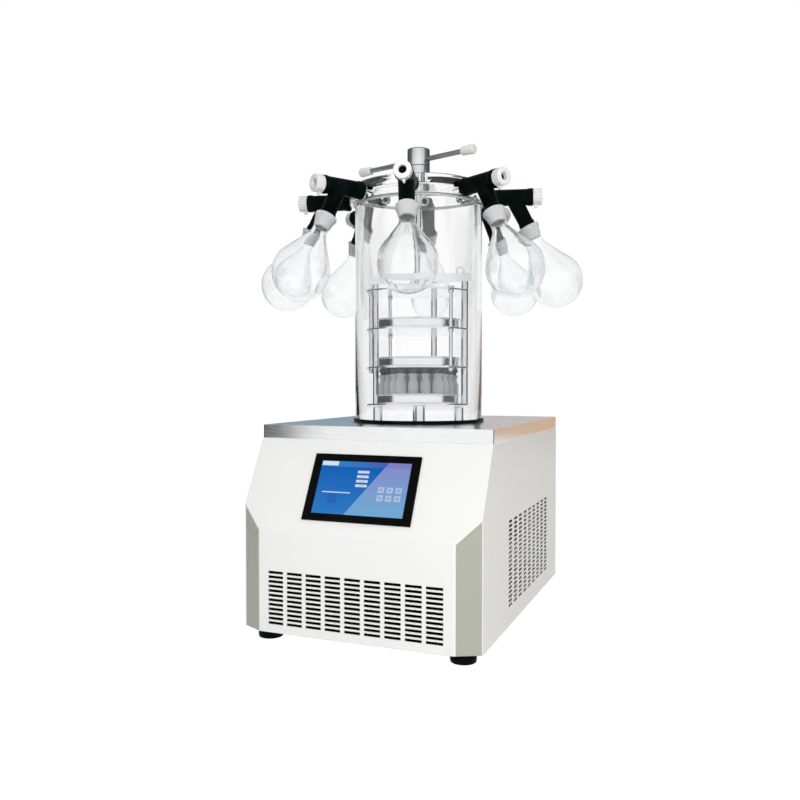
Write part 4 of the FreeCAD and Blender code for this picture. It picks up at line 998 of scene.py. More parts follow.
@dataclass
class Cabinet(Assembly):
    """The painted shell, its floor pan, the worktop and the rubber feet."""

    plain = {
        "front_panel": Slot.WHITE_PAINT,
        "side_panel_left": Slot.WHITE_PAINT,
        "side_panel_right": Slot.WHITE_PAINT,
        "rear_panel": Slot.WHITE_PAINT,
        "corner_panels": Slot.GREY_PAINT,
        "base_tray": Slot.TRAY_STEEL,
        "top_plate": Slot.STAINLESS,
    }
    foot_radius: float = 23 * MM
    foot_taper: float = 2.5 * MM
    foot_toe: float = 1 * MM
    foot_belly: float = 0.3
    well_mouth: float = 0.5
    well_floor: float = 0.45
    well_depth: float = 0.35
    screw_radius: float = 3.4 * MM
    screw_high: float = 1.6 * MM
    screw_side: float = 9 * MM
    screw_end: float = 12 * MM
    screw_sink: float = 0.6 * MM
    screw_rows: int = 4

    def make(self) -> None:
        """Makes the feet and screws."""
        self.build_feet()
        self.build_screws()

    def build_feet(self) -> None:
        """Tapered feet, each with a sunk well below."""
        low, high, size = reach("feet")
        tall = size.z
        radius = self.foot_radius
        foot = Form().outline(
            (0.0, tall), (radius - self.foot_taper, tall, 0.6), (radius, tall * self.foot_belly, 2),
            (radius - self.foot_toe, 0.0, 1), (radius * self.well_mouth, 0.0, 1),
            (radius * self.well_floor, tall * self.well_depth, 0.5), (0.0, tall * self.well_depth),
        )
        columns = (low.x + radius, high.x - radius)
        rows = (low.y + radius, high.y - radius)
        foot.turn(40).copies([at(x, y, low.z) for x in columns for y in rows])
        self.stand(foot, "rubber_feet", "feet", Slot.BLACK_RUBBER)

    def build_screws(self) -> None:
        """Domed screw heads down both sides of the rear panel."""
        wide, tall = self.screw_radius, self.screw_high
        head = Form().outline((0.0, 0.0), (wide, 0.0), (wide, tall, 1), (0.0, tall)).turn(20)
        low, high, size = reach("rear_panel")
        pitch = (size.z - 2 * self.screw_end) / (self.screw_rows - 1)
        levels = [low.z + self.screw_end + row * pitch for row in range(self.screw_rows)]
        columns = (low.x + self.screw_side, high.x - self.screw_side)
        face = OUTWARD.inverted()
        head.copies([at(x, high.y - self.screw_sink, z) @ face for z in levels for x in columns])
        steel = self.wardrobe.materials[Slot.ROD_STEEL]
        head.piece("rear_screws", Body.FRAME.value, Slot.ROD_STEEL, [steel])


@dataclass
class TouchScreen(Assembly):
    """The screen in the slanted face: a moulded bezel and a lit pane under glass."""

    plain = {"screen_bezel": Slot.BLACK_PLASTIC}
    border: tuple[float, float] = (3 * MM, 0.2 * MM)
    flat: float = 1.0
    unlit: tuple[float, float] = (-1.0, -1.0)

    def make(self) -> None:
        """A pane as the frame's, with a UV map that runs across and up its lit face."""
        form = Form()
        mesh = form.mesh
        mesh.from_mesh(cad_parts["screen_glass"].data)
        form.tidy()
        bmesh.ops.dissolve_limit(mesh, angle_limit=math.radians(self.flat), verts=mesh.verts, edges=mesh.edges)
        face = max(mesh.faces, key=lambda item: item.calc_area() * (1 if item.normal.z > 0 else 0))
        up = (Vector((0, 0, 1)) - face.normal * face.normal.z).normalized()
        ways = (up.cross(face.normal), up)
        centre = face.calc_center_median()
        halves = [
            max((corner.co - centre).dot(way) for corner in face.verts) - border
            for way, border in zip(ways, self.border)
        ]
        layer = mesh.loops.layers.uv.new("face")
        for item in mesh.faces:
            for loop in item.loops:
                offset = loop.vert.co - centre
                lit = [offset.dot(way) / (2 * half) + 0.5 for way, half in zip(ways, halves)]
                loop[layer].uv = lit if item == face else self.unlit
        self.stand(form, "screen_pane", "screen_glass", Slot.SCREEN)


@dataclass
class Chamber(Assembly):
    """The clear drying chamber between its gaskets, on the cold trap's well."""

    plain = {
        "base_gasket": Slot.BLACK_RUBBER,
        "lid_gasket": Slot.SILICONE,
        "cold_trap": Slot.STAINLESS,
        "trap_insulation": Slot.FOAM,
        "baffle_plate": Slot.STAINLESS,
    }
    wall: float = 10 * MM
    easing: float = 1.0
    steps: int = 128

    def make(self) -> None:
        """Makes the clear tube."""
        low, high, _ = reach("drying_chamber")
        inner, outer = high.x - self.wall, high.x
        corners = ((inner, low.z), (outer, low.z), (outer, high.z), (inner, high.z))
        tube = Form().outline(*[(*corner, self.easing) for corner in corners]).close().turn(self.steps)
        self.stand(tube, "clear_chamber", "drying_chamber", Slot.ACRYLIC)


@dataclass
class Manifold(Assembly):
    """The clear lid with eight ports, each with a stub, a rubber tee, a turning knob, an adapter and a flask.

    A port's own frame has its -Y outward from the lid's axis, and an arm's own frame has its -Z down the arm. The
    bores are rows of radius, start and end, along the port from the axis or up the arm from its root.
    """

    plain = {"port_stubs": Slot.STAINLESS}
    count: int = 8
    first: float = 14.0
    front_roll: float = 4.6
    roof: float = 14 * MM
    rim: float = 24 * MM
    gland_hole: float = 12.2 * MM
    overrun: float = 10 * MM
    stub: float = 10.08 * MM
    tee_start: float = 142 * MM
    tee_end: float = 232 * MM
    tee_radius: float = 17.5 * MM
    tee_band: tuple[float, float] = (9 * MM, 11 * MM)
    band: float = 1.2 * MM
    port_bores: tuple[tuple[float, float, float], ...] = (
        (10.08 * MM, 138 * MM, 173 * MM),
        (12.08 * MM, 177 * MM, 238 * MM),
        (6 * MM, 162 * MM, 186 * MM),
    )
    arm_bores: tuple[tuple[float, float, float], ...] = (
        (9.58 * MM, -67 * MM, -43 * MM),
        (8 * MM, -66 * MM, 0.0),
    )
    arm_root: float = 192 * MM
    arm_tilt: float = 27.0
    arm_radius: float = 16 * MM
    arm_long: float = 66 * MM
    arm_band: tuple[float, float] = (8 * MM, 10 * MM)
    plug_radius: float = 12 * MM
    plug_start: float = 177 * MM
    plug_way: float = 7 * MM
    plug_floor: float = 207 * MM
    knob_radius: float = 16.5 * MM
    knob_gap: float = 0.3 * MM
    knob_long: float = 18 * MM
    knob_recess: float = 7.5 * MM
    knob_depth: float = 10 * MM
    recess_edge: float = 0.1 * MM
    knob_steps: int = 64
    grip_every: int = 4
    grip_depth: float = 0.9 * MM
    grip_edge: float = 0.3 * MM
    tab: tuple[float, float, float] = (9 * MM, 7 * MM, 9 * MM)
    tab_taper: float = 0.25
    tab_out: float = 5.5 * MM
    tab_drop: float = 1.4 * MM
    tab_easing: float = 0.5 * MM
    tube_bore: float = 6.5 * MM
    tube_radius: float = 9.5 * MM
    tube_long: float = 22 * MM
    cone_long: float = 26 * MM
    cone_wall: float = 2 * MM
    cone_web: float = 2 * MM
    cone_mouth: float = 5 * MM
    slope: float = math.radians(60)
    arc_steps: int = 26
    bulb: float = 54 * MM
    glass: float = 2.2 * MM
    neck: float = 14.5 * MM
    neck_long: float = 10 * MM
    collar: float = 21.5 * MM
    collar_extra: float = 0.8 * MM
    collar_long: float = 30 * MM
    bead: float = 5 * MM
    bead_foot: float = 8 * MM
    bead_stand: float = 2 * MM
    seat: float = 0.2 * MM
    clear_edge: float = 1 * MM
    clear_foot: float = 2 * MM
    skin: float = 0.5 * MM

    def make(self) -> None:
        """Makes the lid and the eight ports."""
        self.build_lid()
        self.build_tees()
        self.build_knobs()
        self.build_adapters()
        self.build_flasks()

    def port(self, number: int) -> Matrix:
        """One port's place. Only the front one is rolled.

        Args:
            number: the port's number, 0 for the front one.

        Returns:
            The place.
        """
        low, high, _ = reach("port_stubs")
        level = at(0, 0, (low.z + high.z) / 2) @ tilted(self.first + 360 / self.count * number)
        roll = 0.0 if number else math.radians(self.front_roll)
        return level @ Matrix.Rotation(roll, 4, (0.0, -1.0, 0.0))

    def ports(self) -> list[Matrix]:
        """All the ports' places."""
        return [self.port(number) for number in range(self.count)]

    def arm(self, down: float = 0.0) -> Matrix:
        """The down arm's place in a port, that far down the arm."""
        return at(0, -self.arm_root, 0) @ tilted(-self.arm_tilt, "X") @ at(0, 0, -down)

    def bore(self) -> float:
        """The inner radius of a flask's collar at its mouth."""
        return self.collar - self.glass - self.collar_extra

    def build_lid(self) -> None:
        """The clear lid: a disc hollowed below, with eight holes drilled in its rim."""
        low, high, _ = reach("manifold_lid")
        radius = high.x
        inside = radius - self.rim
        ceiling = high.z - self.roof
        disc = Form().outline(
            (self.gland_hole, ceiling), (inside, ceiling, 6), (inside, low.z), (radius, low.z, 2),
            (radius, high.z, 3), (self.gland_hole, high.z),
        )
        disc.close().turn(128)
        ends = (inside - self.overrun, radius + self.overrun)
        drills = [rod(self.stub, *ends).move(port @ OUTWARD) for port in self.ports()]
        self.stand(carve(disc, drills), "clear_lid", "manifold_lid", Slot.ACRYLIC)

    def build_tees(self) -> None:
        """Rubber tees with a moulded band at each mouth."""
        start, end, radius, waist = self.tee_start, self.tee_end, self.tee_radius, self.tee_radius - self.band
        near, far = self.tee_band
        tube = Form().outline(
            (0.0, start), (radius, start, 1.5), (radius, start + near, 0.8), (waist, start + far, 1),
            (waist, end - far, 1), (radius, end - near, 0.8), (radius, end, 1.5), (0.0, end),
        )
        tube.turn(48).move(OUTWARD)
        mouth, radius = -self.arm_long, self.arm_radius
        near, far = self.arm_band
        arm = Form().outline(
            (0.0, mouth), (radius, mouth, 1), (radius, mouth + near, 0.8),
            (radius - self.band, mouth + far, 1), (radius, 0.0), (0.0, 0.0),
        )
        arm.turn(48).move(self.arm())
        ways = [rod(*bore).move(OUTWARD) for bore in self.port_bores]
        ways += [rod(*bore).move(self.arm()) for bore in self.arm_bores]
        tees = carve(tube, ways, [arm]).copies(self.ports())
        self.stand(tees, "rubber_tees", "valve_bodies", Slot.BLACK_RUBBER)

    def build_knob(self) -> Form:
        """A turning plug: fluted head with a recess, a hollow core and a pointer tab.

        Returns:
            The knob, in a port's own frame.
        """
        seam = self.tee_end + self.knob_gap
        top = self.tee_end + self.knob_long
        core = Form().outline(
            (self.plug_way, self.plug_start, 0.4), (self.plug_radius, self.plug_start, 0.6),
            (self.plug_radius, seam), (self.knob_radius, seam, 0.8), (self.knob_radius, top, 2),
            (self.knob_recess, top, 0.8), (self.knob_recess, top - self.knob_depth, 1),
            (0.0, top - self.knob_depth), (0.0, self.plug_floor), (self.plug_way, self.plug_floor, 1),
        )
        core.close().turn(self.knob_steps)
        grips = [face for face in core.mesh.faces if self.is_grip(face)]
        bmesh.ops.inset_individual(core.mesh, faces=grips, thickness=self.grip_edge, depth=-self.grip_depth)
        # The recess takes the black plastic: painted shade for the dark inside of the hole.
        core.paint(lambda radius, height: radius < self.knob_recess - self.recess_edge and height > seam)
        return core.move(OUTWARD).join(self.build_tab(seam))

    def is_grip(self, face: Face) -> bool:
        """True on every face of the knob's round side that is sunk as a flute.

        Args:
            face: a face of the knob before it is laid down.

        Returns:
            Whether it is sunk.
        """
        middle = face.calc_center_median()
        step = int((math.atan2(middle.y, middle.x) / FULL_TURN + 0.5) * self.knob_steps)
        return middle_of(face)[0] > self.knob_radius - self.grip_edge and step % self.grip_every == 0

    def build_tab(self, seam: float) -> Form:
        """The pointer tab under the knob, narrower at its lower end.

        Args:
            seam: where the knob begins, along the port.

        Returns:
            The tab, in a port's own frame.
        """
        tab = Form()
        made = bmesh.ops.create_cube(tab.mesh, size=1.0)
        lower = [corner for corner in made["verts"] if corner.co.z < 0]
        bmesh.ops.scale(tab.mesh, vec=(self.tab_taper, 1.0, 1.0), verts=lower)
        spot = at(0, -(seam + self.tab_out), -self.knob_radius - self.tab_drop)
        return tab.move(spot @ Matrix.Diagonal((*self.tab, 1.0))).soften(self.tab_easing)

    def build_knobs(self) -> None:
        """One knob for each port, on its own body."""
        plastics = [self.wardrobe.materials[slot] for slot in (Slot.WHITE_PLASTIC, Slot.BLACK_PLASTIC)]
        for number, port in enumerate(self.ports(), start=1):
            node = f"valve_knob_{number}"
            knob = self.build_knob().move(port)
            self.stand(knob, f"white_knob_{number}", node, Slot.WHITE_PLASTIC, node, plastics)

    def build_adapters(self) -> None:
        """Glass adapters: a tube held by the arm and a ground cone in the flask's mouth."""
        taper = (self.bore() - (self.neck - self.glass)) / self.collar_long
        foot = -self.cone_long
        wide = self.bore() - self.seat
        narrow = wide - taper * self.cone_long
        adapter = Form().outline(
            (self.tube_bore, self.tube_long, 0.5), (self.tube_radius, self.tube_long, 0.5),
            (self.tube_radius, 0.0, 2), (wide, 0.0, 0.5), (narrow, foot, 0.5),
            (narrow - self.cone_wall, foot, 0.5), (wide - self.cone_mouth, -self.cone_web, 1),
            (self.tube_bore, -self.cone_web, 1),
        )
        adapter.close().turn(40)
        adapter.paint(lambda radius, height: height < -self.clear_edge and radius > narrow - self.skin)
        adapter.move(self.arm(self.arm_long)).copies(self.ports())
        clear = [self.wardrobe.materials[Slot.GLASS], self.wardrobe.ground]
        self.stand(adapter, "glass_adapters", "flask_adapters", Slot.GLASS, materials=clear)

    def to_throat(self, radius: float, throat: float) -> float:
        """How far over a bulb's centre the shoulder that leaves it on the slope meets the throat."""
        wide = radius * math.sin(self.slope)
        return radius * math.cos(self.slope) + (wide - throat) * math.tan(self.slope)

    def build_flask(self) -> Form:
        """A pear-shaped flask: round bulb, drawn shoulder, short neck and beaded ground collar.

        Returns:
            The flask, with its mouth at the origin.
        """
        inside = self.bulb - self.glass
        throat = self.neck - self.glass
        tip = self.collar_long + self.neck_long
        centre = -tip - self.to_throat(self.bulb, self.neck)
        arc = math.pi - self.slope
        flask = Form().line(0.0, centre - self.bulb).sweep(centre, arc, self.arc_steps)
        flask.outline(
            (self.neck, -tip, 9), (self.neck, -self.collar_long, 2.5),
            (self.collar - self.bead_stand, -self.bead_foot, 2), (self.collar, -self.bead, 1.2),
            (self.collar, 0.0, 1.8), (self.bore(), 0.0, 0.8), (throat, -self.collar_long, 1.5),
            (throat, centre + self.to_throat(inside, throat), 8),
            (inside * math.sin(self.slope), centre + inside * math.cos(self.slope)),
        )
        flask.sweep(centre, -arc, self.arc_steps).turn(72)
        foot = self.clear_foot - self.collar_long
        return flask.paint(lambda radius, height: foot < height < -self.clear_edge)

    def build_flasks(self) -> None:
        """One flask hangs from each adapter, with ground glass between its neck and its mouth's edge."""
        clear = [self.wardrobe.materials[Slot.GLASS], self.wardrobe.ground]
        hang = self.arm(self.arm_long + self.seat)
        for number, port in enumerate(self.ports(), start=1):
            flask = self.build_flask().move(port @ hang)
            self.stand(flask, f"glass_flask_{number}", f"flask_{number}", Slot.GLASS, materials=clear)


@dataclass
class Rack(Assembly):
    """The steel rack in the chamber: base, posts, yoke, shelves on nutted rods, trays and stoppered vials."""

    plain = {
        "rack_feet": Slot.STAINLESS,
        "rack_base": Slot.STAINLESS,
        "rack_yoke": Slot.STAINLESS,
        "shelf_plates": Slot.STAINLESS,
        "rack_posts": Slot.ROD_STEEL,
        "press_rod": Slot.ROD_STEEL,
    }
    shelves: int = 3
    shelf_sheet: float = 3 * MM
    ring: float = 98 * MM
    rod_radius: float = 3.5 * MM
    rod_angle: float = 30.0
    nut_across: float = 5.9 * MM
    nut_high: float = 5 * MM
    nut_gap: float = 0.2 * MM
    nut_sink: float = 0.01 * MM
    nut_easing: float = 0.4 * MM
    tray_radius: float = 89 * MM
    tray_wall: float = 1.2 * MM
    lip: float = 1.6 * MM
    lip_high: float = 2.4 * MM
    lip_root: float = 3 * MM
    draft: float = 0.4 * MM
    vial_pitch: float = 24 * MM
    vial_turn: float = 22.0
    vial_rings: int = 3
    vial_radius: float = 11 * MM
    vial_wall: float = 1.2 * MM
    vial_neck: float = 8 * MM
    vial_lip: float = 10 * MM
    vial_lip_high: float = 4 * MM
    neck_high: float = 12 * MM
    shoulder_high: float = 6 * MM
    flange: float = 9.5 * MM
    flange_high: float = 3.5 * MM
    dimple: float = 4 * MM
    dimple_deep: float = 0.5 * MM
    leg: float = 6.7 * MM
    leg_tip: float = 5.6 * MM
    leg_taper: float = 3 * MM

    def make(self) -> None:
        """Makes the rods, trays, vials and stoppers."""
        self.build_rods()
        self.build_tray("vial_tray", Body.FRAME, 1)
        self.build_tray("bulk_trays", Body.SHELVES, 2)
        self.build_vials()
        self.build_stoppers()

    def build_rods(self) -> None:
        """Plain hanger rods with a hexagon nut at each shelf and on top."""
        low, high, _ = reach("hanger_rods")
        form = rod(self.rod_radius, low.z, high.z, 20, 0.6)
        spots = [level - self.nut_high / 2 for level in self.shelf_levels()]
        for spot in (*spots, high.z - self.nut_high / 2 - self.nut_sink):
            nut = Form()
            size = {"radius1": self.nut_across, "radius2": self.nut_across, "depth": self.nut_high - self.nut_gap}
            bmesh.ops.create_cone(nut.mesh, cap_ends=True, segments=6, matrix=at(0, 0, spot), **size)
            form.join(nut.soften(self.nut_easing, 1))
        turns = (self.rod_angle, 180 - self.rod_angle, 180 + self.rod_angle, -self.rod_angle)
        form.move(at(self.ring, 0, 0)).copies([tilted(angle) for angle in turns])
        self.stand(form, "threaded_rods", "hanger_rods", Slot.ROD_STEEL, Body.SHELVES)

    def shelf_levels(self) -> list[float]:
        """The undersides of the shelves.

        Returns:
            The heights, from the lowest up.
        """
        low, _, size = reach("shelf_plates")
        pitch = (size.z - self.shelf_sheet) / (self.shelves - 1)
        return [low.z + pitch * number for number in range(self.shelves)]

    def build_tray(self, node: str, body: Body, count: int) -> None:
        """Drawn round trays with a rolled lip.

        Args:
            node: the frame's node that they stand for.
            body: the body that they ride on.
            count: how many trays the node holds, one to a shelf.
        """
        low, _, size = reach(node)
        base, above, *_ = self.shelf_levels()
        tall = size.z - (count - 1) * (above - base)
        outer = self.tray_radius
        inner = outer - self.lip
        tray = Form().outline(
            (0.0, 0.0), (inner - self.draft, 0.0, 3), (inner, tall - self.lip_root, 0.6),
            (outer, tall - self.lip_high, 0.5), (outer, tall, 0.9), (inner - self.tray_wall, tall, 0.6),
            (inner - self.tray_wall, self.tray_wall, 2), (0.0, self.tray_wall),
        )
        tray.turn(96).copies([at(0, 0, low.z + number * (above - base)) for number in range(count)])
        self.stand(tray, f"drawn_{node}", node, Slot.STAINLESS, body)

    def places(self, height: float) -> list[Matrix]:
        """Close-packed places at that height, in rings about the middle.

        Args:
            height: the places' height.

        Returns:
            The places.
        """
        rings = self.vial_rings
        steps = range(-rings, rings + 1)
        pairs = [(a, b) for a in steps for b in steps if abs(a + b) <= rings]
        pitch = self.vial_pitch
        spots = [at(pitch * (a + b / 2), pitch * b * math.sqrt(3) / 2, height) for a, b in pairs]
        return [tilted(self.vial_turn) @ spot for spot in spots]

    def build_vials(self) -> None:
        """Thin glass vials with a shoulder and a lipped mouth."""
        low, _, size = reach("vials")
        tall, wall, wide, neck, lip = size.z, self.vial_wall, self.vial_radius, self.vial_neck, self.vial_lip
        shoulder = tall - self.neck_high
        vial = Form().outline(
            (0.0, 0.0), (wide, 0.0), (wide, shoulder - self.shoulder_high), (neck, shoulder),
            (neck, tall - self.vial_lip_high), (lip, tall - self.vial_lip_high), (lip, tall),
            (neck - wall, tall), (neck - wall, shoulder), (wide - wall, shoulder - self.shoulder_high),
            (wide - wall, 2 * wall), (0.0, 2 * wall),
        )
        vial.turn(20).copies(self.places(low.z))
        self.stand(vial, "glass_vials", "vials", Slot.GLASS, materials=[self.wardrobe.vial])

    def build_stoppers(self) -> None:
        """Rubber stoppers, each with a dimpled flange and a leg in the vial's neck."""
        low, _, size = reach("stoppers")
        tall = size.z
        seat = tall - self.flange_high
        stopper = Form().outline(
            (0.0, 0.0), (self.leg_tip, 0.0), (self.leg, self.leg_taper), (self.leg, seat),
            (self.flange, seat), (self.flange, tall, 0.8), (self.dimple, tall),
            (self.dimple - self.dimple_deep, tall - self.dimple_deep), (0.0, tall - self.dimple_deep),
        )
        stopper.turn(18).copies(self.places(low.z))
        self.stand(stopper, "vial_stoppers", "stoppers", Slot.STOPPER_RUBBER, Body.STOPPERS)


@dataclass
class Press(Assembly):
    """The screw press on the lid: gland, turning hub, bar and its two caps."""

    post: float = 23 * MM
    bar_turn: float = -17.0
    bar_radius: float = 5 * MM
    bar_half: float = 147.5 * MM
    bar_slide: float = -10 * MM
    bar_inset: float = 5.2 * MM
    cap_radius: float = 9.5 * MM
    cap_long: float = 29 * MM
    cap_end: float = 5 * MM
    cap_taper: float = 1 * MM
    spigot: float = 14 * MM
    gland_spigot: float = 12 * MM
    floor_room: float = 1 * MM
    roof_room: float = 2 * MM
    rod_way: float = 6.1 * MM
    hub_long: float = 35 * MM
    running: float = 0.08 * MM

    def make(self) -> None:
        """Makes the gland, hub, bar and caps."""
        low, high, _ = reach("press_bar")
        height = (low.z + high.z) / 2
        place = at(0, 0, height) @ tilted(self.bar_turn) @ at(self.bar_slide, 0, 0) @ ALONG_X
        self.build_gland()
        self.build_hub(height, place)
        self.build_bar(place)
        self.build_caps(place)

    def build_gland(self) -> None:
        """The gland on the lid, with its spigot through the lid and the hub's socket."""
        low, high, _ = reach("press_gland")
        seat = reach("manifold_lid")[1].z
        bore = self.spigot + self.running
        floor = high.z - self.hub_long - self.floor_room
        form = Form().outline(
            (self.rod_way, low.z), (self.gland_spigot, low.z, 0.5), (self.gland_spigot, seat),
            (self.post, seat, 0.6), (self.post, high.z, 0.8), (bore, high.z, 0.3), (bore, floor),
            (self.rod_way, floor),
        )
        self.stand(form.close().turn(96), "chrome_gland", "press_gland", Slot.CHROME)

    def build_hub(self, bar_height: float, place: Matrix) -> None:
        """The turning hub, with the bar's way across it and the rod's bore below.

        Args:
            bar_height: the height of the bar's axis.
            place: the bar's place.
        """
        low, high, _ = reach("press_hub")
        base = high.z - self.hub_long
        ceiling = bar_height - self.bar_radius - self.roof_room
        form = Form().outline(
            (self.rod_way, low.z), (self.spigot, low.z, 0.5), (self.spigot, base),
            (self.post, base, 0.8), (self.post, high.z, 1.8), (0.0, high.z), (0.0, ceiling),
            (self.rod_way, ceiling),
        )
        way = rod(self.bar_radius + self.running, -2 * self.post, 3 * self.post).move(place)
        self.stand(carve(form.close().turn(96), [way]), "chrome_hub", "press_hub", Slot.CHROME, Body.PRESS)

    def build_bar(self, place: Matrix) -> None:
        """The bar through the hub. It is as dull as plated sheet.

        Args:
            place: the bar's place.
        """
        end = self.bar_half - self.bar_inset
        bar = rod(self.bar_radius, -end, end, 32, 0.6).move(place)
        dull = [self.wardrobe.materials[Slot.TRAY_STEEL]]
        self.stand(bar, "steel_bar", "press_bar", Slot.ROD_STEEL, Body.PRESS, dull)

    def build_caps(self, place: Matrix) -> None:
        """A cap on each end of the bar.

        Args:
            place: the bar's place.
        """
        bore = self.bar_radius + self.running
        end, floor, mouth = self.bar_half, self.bar_half - self.cap_end, self.bar_half - self.cap_long
        cap = Form().outline(
            (bore, mouth), (self.cap_radius - self.cap_taper, mouth, 1), (self.cap_radius, end, 2.5),
            (0.0, end), (0.0, floor), (bore, floor),
        )
        cap.close().turn(40).copies([place, place @ tilted(180, "Y")])
        self.stand(cap, "white_caps", "bar_caps", Slot.WHITE_PLASTIC, Body.PRESS)


@dataclass
class Services(Assembly):
    """What drives the dryer inside and behind: refrigeration, fan, mains inlet and drain."""

    plain = {
        "compressor": Slot.BLACK_STEEL,
        "condenser": Slot.FINS,
        "fan_shroud": Slot.TRAY_STEEL,
        "fan_motor": Slot.BLACK_STEEL,
        "fan_rotor": Slot.BLACK_PLASTIC,
        "power_inlet": Slot.BLACK_PLASTIC,
        "power_switch": Slot.BLACK_PLASTIC,
        "drain_pipe": Slot.BRASS,
        "drain_lever": Slot.LEVER,
    }


# Studio


CARD_RADIUS = 2.2
CARD_STEPS = 16
FOOT, WAIST, TOP = -0.3, 1.15, 2.2
DARK: Colour = (0.012, 0.013, 0.014, 1.0)
SKY: Colour = (0.42, 0.43, 0.44, 1.0)
ROOF: Colour = (0.3, 0.3, 0.31, 1.0)


@dataclass(frozen=True)
class Card:
    """A card on an arc about the chamber's axis, which colours reflections.

    Attributes:
        name: the card's name.
        span: its first and last direction from the axis, in degrees from +X.
        rise: its lower and upper edge's height.
        light: the colour that it shows in a reflection.
        through: whether a reflection sees it through glass too.
        shades: whether it stands between the surround's light and matt surfaces.
        mirrors: whether reflections see it at all.
    """

    name: str
    span: tuple[float, float]
    rise: tuple[float, float]
    light: Colour
    through: bool = False
    shades: bool = False
    mirrors: bool = True

    def build(self) -> None:
        """Hangs the card."""
        form = Form()
        for height in self.rise:
            form.line(CARD_RADIUS, height)
        first, last = self.span
        form.spin(math.radians(last - first), CARD_STEPS).move(tilted(first))
        thing = hang(form, self.name, self.light)
        thing.visible_transmission = self.through
        thing.visible_diffuse = self.shades
        thing.visible_glossy = self.mirrors


def hang(form: Form, name: str, light: Colour) -> Thing:
    """Sets a card up for direct reflections and matt light. Within one wall of glass it is white.

    Args:
        form: the card's form.
        name: its name.
        light: the colour that it shows.

    Returns:
        The card.
    """
    thing = form.loose(name)
    material, tree, shader = blank(name)
    path = tree.add("LightPath").outputs
    once = tree.calc("COMPARE", path["Glossy Depth"], 1.0, 0.5)
    inside = tree.calc("COMPARE", path["Transmission Depth"], 2.0, 1.5)
    mirrored = tree.calc("MULTIPLY", once, tree.calc("SUBTRACT", 1.0, inside))
    open_air = tree.calc("LESS_THAN", path["Transmission Depth"], 0.5)
    matt = tree.calc("MULTIPLY", open_air, tree.calc("GREATER_THAN", path["Diffuse Depth"], 0.5))
    shown = tree.mix(tree.calc("MAXIMUM", mirrored, matt), WHITE, light)
    tree.fill(shader, {"Emission Color": shown, "Emission Strength": 1.0})
    tree.fill(shader, {"Base Color": BLACK, "Specular IOR Level": 0.0})
    thing.data.materials.append(material)
    thing.visible_camera = False
    thing.visible_shadow = False
    thing.visible_transmission = False
    thing.visible_diffuse = False
    return thing


def list_cards() -> list[Card]:
    """The cards: dark sides under a pale sky, a pale back over coloured fields, and a warm fill.

    Returns:
        The cards.
    """
    cards = []
    for side, span in (("left", (142, 220)), ("right", (-4, 60))):
        cards.append(Card(f"{side} card", span, (FOOT, WAIST), DARK, through=True, shades=True))
        cards.append(Card(f"{side} shade", span, (WAIST, TOP), DARK, shades=True, mirrors=False))
        cards.append(Card(f"{side} sky", span, (WAIST, TOP), SKY))
    return cards + [
        Card("front left card", (220, 240), (FOOT, 0.9), DARK, shades=True),
        Card("back card", (60, 142), (1.3, TOP), ROOF),
        Card("warm card", (60, 84), (0.2, 0.8), (0.66, 0.47, 0.32, 1.0)),
        Card("pale card", (84, 108), (0.36, 0.8), (0.52, 0.48, 0.48, 1.0)),
        Card("blue card", (108, 142), (0.36, 0.8), (0.18, 0.28, 0.35, 1.0)),
        Card("warm fill", (-44, -4), (FOOT, TOP), (0.30, 0.22, 0.09, 1.0), shades=True, mirrors=False),
    ]


@dataclass(frozen=True)
class Lamp:
    """An oblong lamp, so wide and so tall, that looks at the middle of the dryer."""

    name: str
    spot: tuple[float, float, float]
    power: float
    size: tuple[float, float]
    colour: tuple[float, float, float] = (1.0, 1.0, 1.0)
    aim: tuple[float, float, float] = (0.0, 0.0, 0.45)

    def build(self) -> None:
        """Sets up the lamp. Reflections and glass don't show it."""
        data = bpy.data.lights.new(self.name, "AREA")
        data.shape = "RECTANGLE"
        data.energy = self.power
        data.size, data.size_y = self.size
        data.color = self.colour
        lamp = bpy.data.objects.new(self.name, data)
        lamp.location = self.spot
        way = Vector(self.aim) - Vector(self.spot)
        lamp.rotation_euler = way.to_track_quat("-Z", "Y").to_euler()
        lamp.visible_glossy = False
        lamp.visible_transmission = False
        bpy.context.scene.collection.objects.link(lamp)


LAMPS = (
    Lamp("key", (1.5, -2.6, 0.9), 48.0, (0.5, 1.6)),
    Lamp("side", (2.6, 0.6, 0.9), 1.5, (1.4, 1.4), (1.0, 0.62, 0.26)),
    Lamp("back", (-1.9, 2.5, 1.5), 16.0, (1.6, 1.6)),
    Lamp("top", (0.0, 0.2, 3.0), 9.0, (1.8, 1.8)),
)


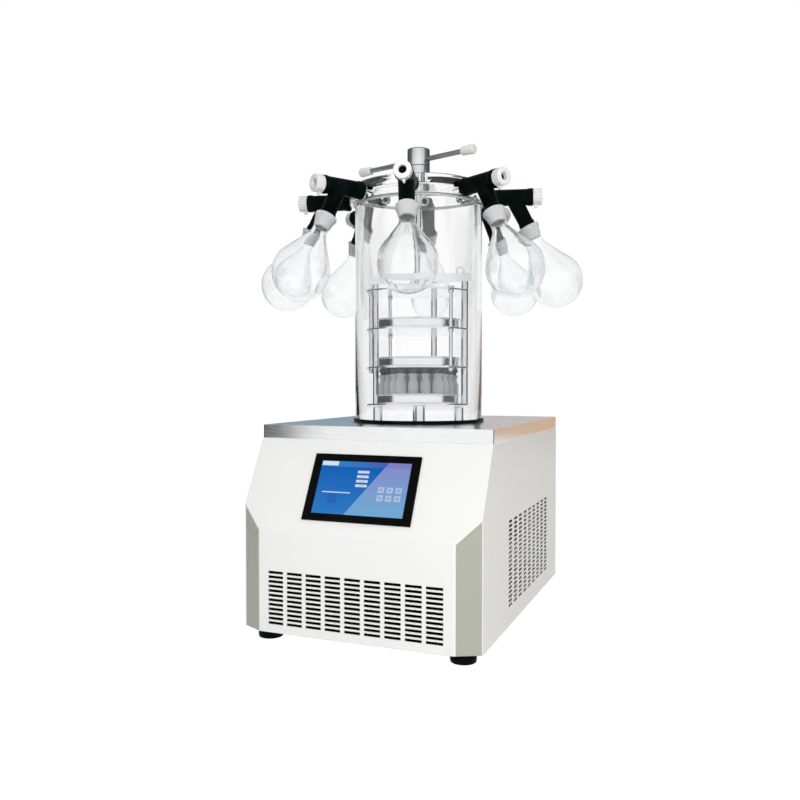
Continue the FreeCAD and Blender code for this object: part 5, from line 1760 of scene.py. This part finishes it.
@dataclass
class Studio:
    """A pale floor, a white surround, soft lamps and the camera."""

    spot: tuple[float, float, float] = (0.586, -1.560, 0.467)
    turn: float = 21.9
    dip: float = -1.3
    lens: float = 36.3
    sensor: float = 36.0
    clip: tuple[float, float] = (0.05, 50.0)
    surround: Colour = (0.96, 0.98, 1.0, 1.0)
    surround_light: float = 0.55
    floor: Colour = (0.72, 0.72, 0.72, 1.0)
    floor_half: float = 8.0
    floor_glow: float = 1.1
    floor_share: float = 0.9

    def build(self) -> None:
        """Sets up the whole studio."""
        self.build_camera()
        self.build_surround()
        self.build_floor()
        roof = Form()
        bmesh.ops.create_circle(roof.mesh, cap_ends=True, segments=48, radius=CARD_RADIUS)
        hang(roof.move(at(0, 0, TOP)), "roof card", ROOF)
        for thing in (*list_cards(), *LAMPS):
            thing.build()
        bpy.context.scene.view_settings.view_transform = "Standard"

    def build_camera(self) -> None:
        """The camera, just above the worktop's level, from the front right."""
        data = bpy.data.cameras.new("camera")
        data.lens = self.lens
        data.sensor_width = self.sensor
        data.clip_start, data.clip_end = self.clip
        camera = bpy.data.objects.new("camera", data)
        camera.location = self.spot
        camera.rotation_euler = (math.radians(90 + self.dip), 0.0, math.radians(self.turn))
        bpy.context.scene.collection.objects.link(camera)
        bpy.context.scene.camera = camera

    def build_surround(self) -> None:
        """A world that is white to the camera and in reflections, and softer as a light."""
        world = bpy.data.worlds.new("surround")
        world.use_nodes = True
        bpy.context.scene.world = world
        tree = Tree(world.node_tree)
        world.node_tree.nodes.clear()
        soft = tree.add("Background", {"Color": self.surround, "Strength": self.surround_light})
        plain = tree.add("Background", {"Color": WHITE, "Strength": 1.0})
        both = tree.add("MixShader", {0: self.seen(tree), 1: soft.outputs[0], 2: plain.outputs[0]})
        tree.add("OutputWorld", {"Surface": both.outputs[0]})

    @staticmethod
    def seen(tree: Tree) -> Socket:
        """1 for rays from the camera, in a reflection or through glass.

        Args:
            tree: the tree that asks.

        Returns:
            That share, 0 or 1.
        """
        path = tree.add("LightPath").outputs
        pair = tree.calc("MAXIMUM", path["Is Camera Ray"], path["Is Glossy Ray"])
        return tree.calc("MAXIMUM", pair, path["Is Transmission Ray"])

    def build_floor(self) -> None:
        """A wide pale floor that keeps a faint shadow."""
        form = Form()
        bmesh.ops.create_grid(form.mesh, x_segments=2, y_segments=2, size=self.floor_half)
        floor = form.loose("floor")
        material, tree, shader = blank("pale floor")
        tree.fill(shader, {"Base Color": self.floor, "Roughness": 0.7})
        glow = tree.add("Emission", {"Color": WHITE, "Strength": self.floor_glow})
        share = tree.calc("MULTIPLY", self.seen(tree), self.floor_share)
        both = tree.add("MixShader", {0: share, 1: shader.outputs[0], 2: glow.outputs[0]})
        tree.fill(material.node_tree.nodes["Material Output"], {"Surface": both.outputs[0]})
        floor.data.materials.append(material)


def main() -> None:
    """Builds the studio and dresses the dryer."""
    logging.basicConfig(level=logging.INFO, format="%(message)s")
    Studio().build()
    wardrobe = Wardrobe(Effects())
    for assembly in (Cabinet, TouchScreen, Chamber, Manifold, Rack, Press, Services):
        assembly(wardrobe).build()
        LOG.info("finished %s", assembly.__name__)


if __name__ == "__main__":
    main()
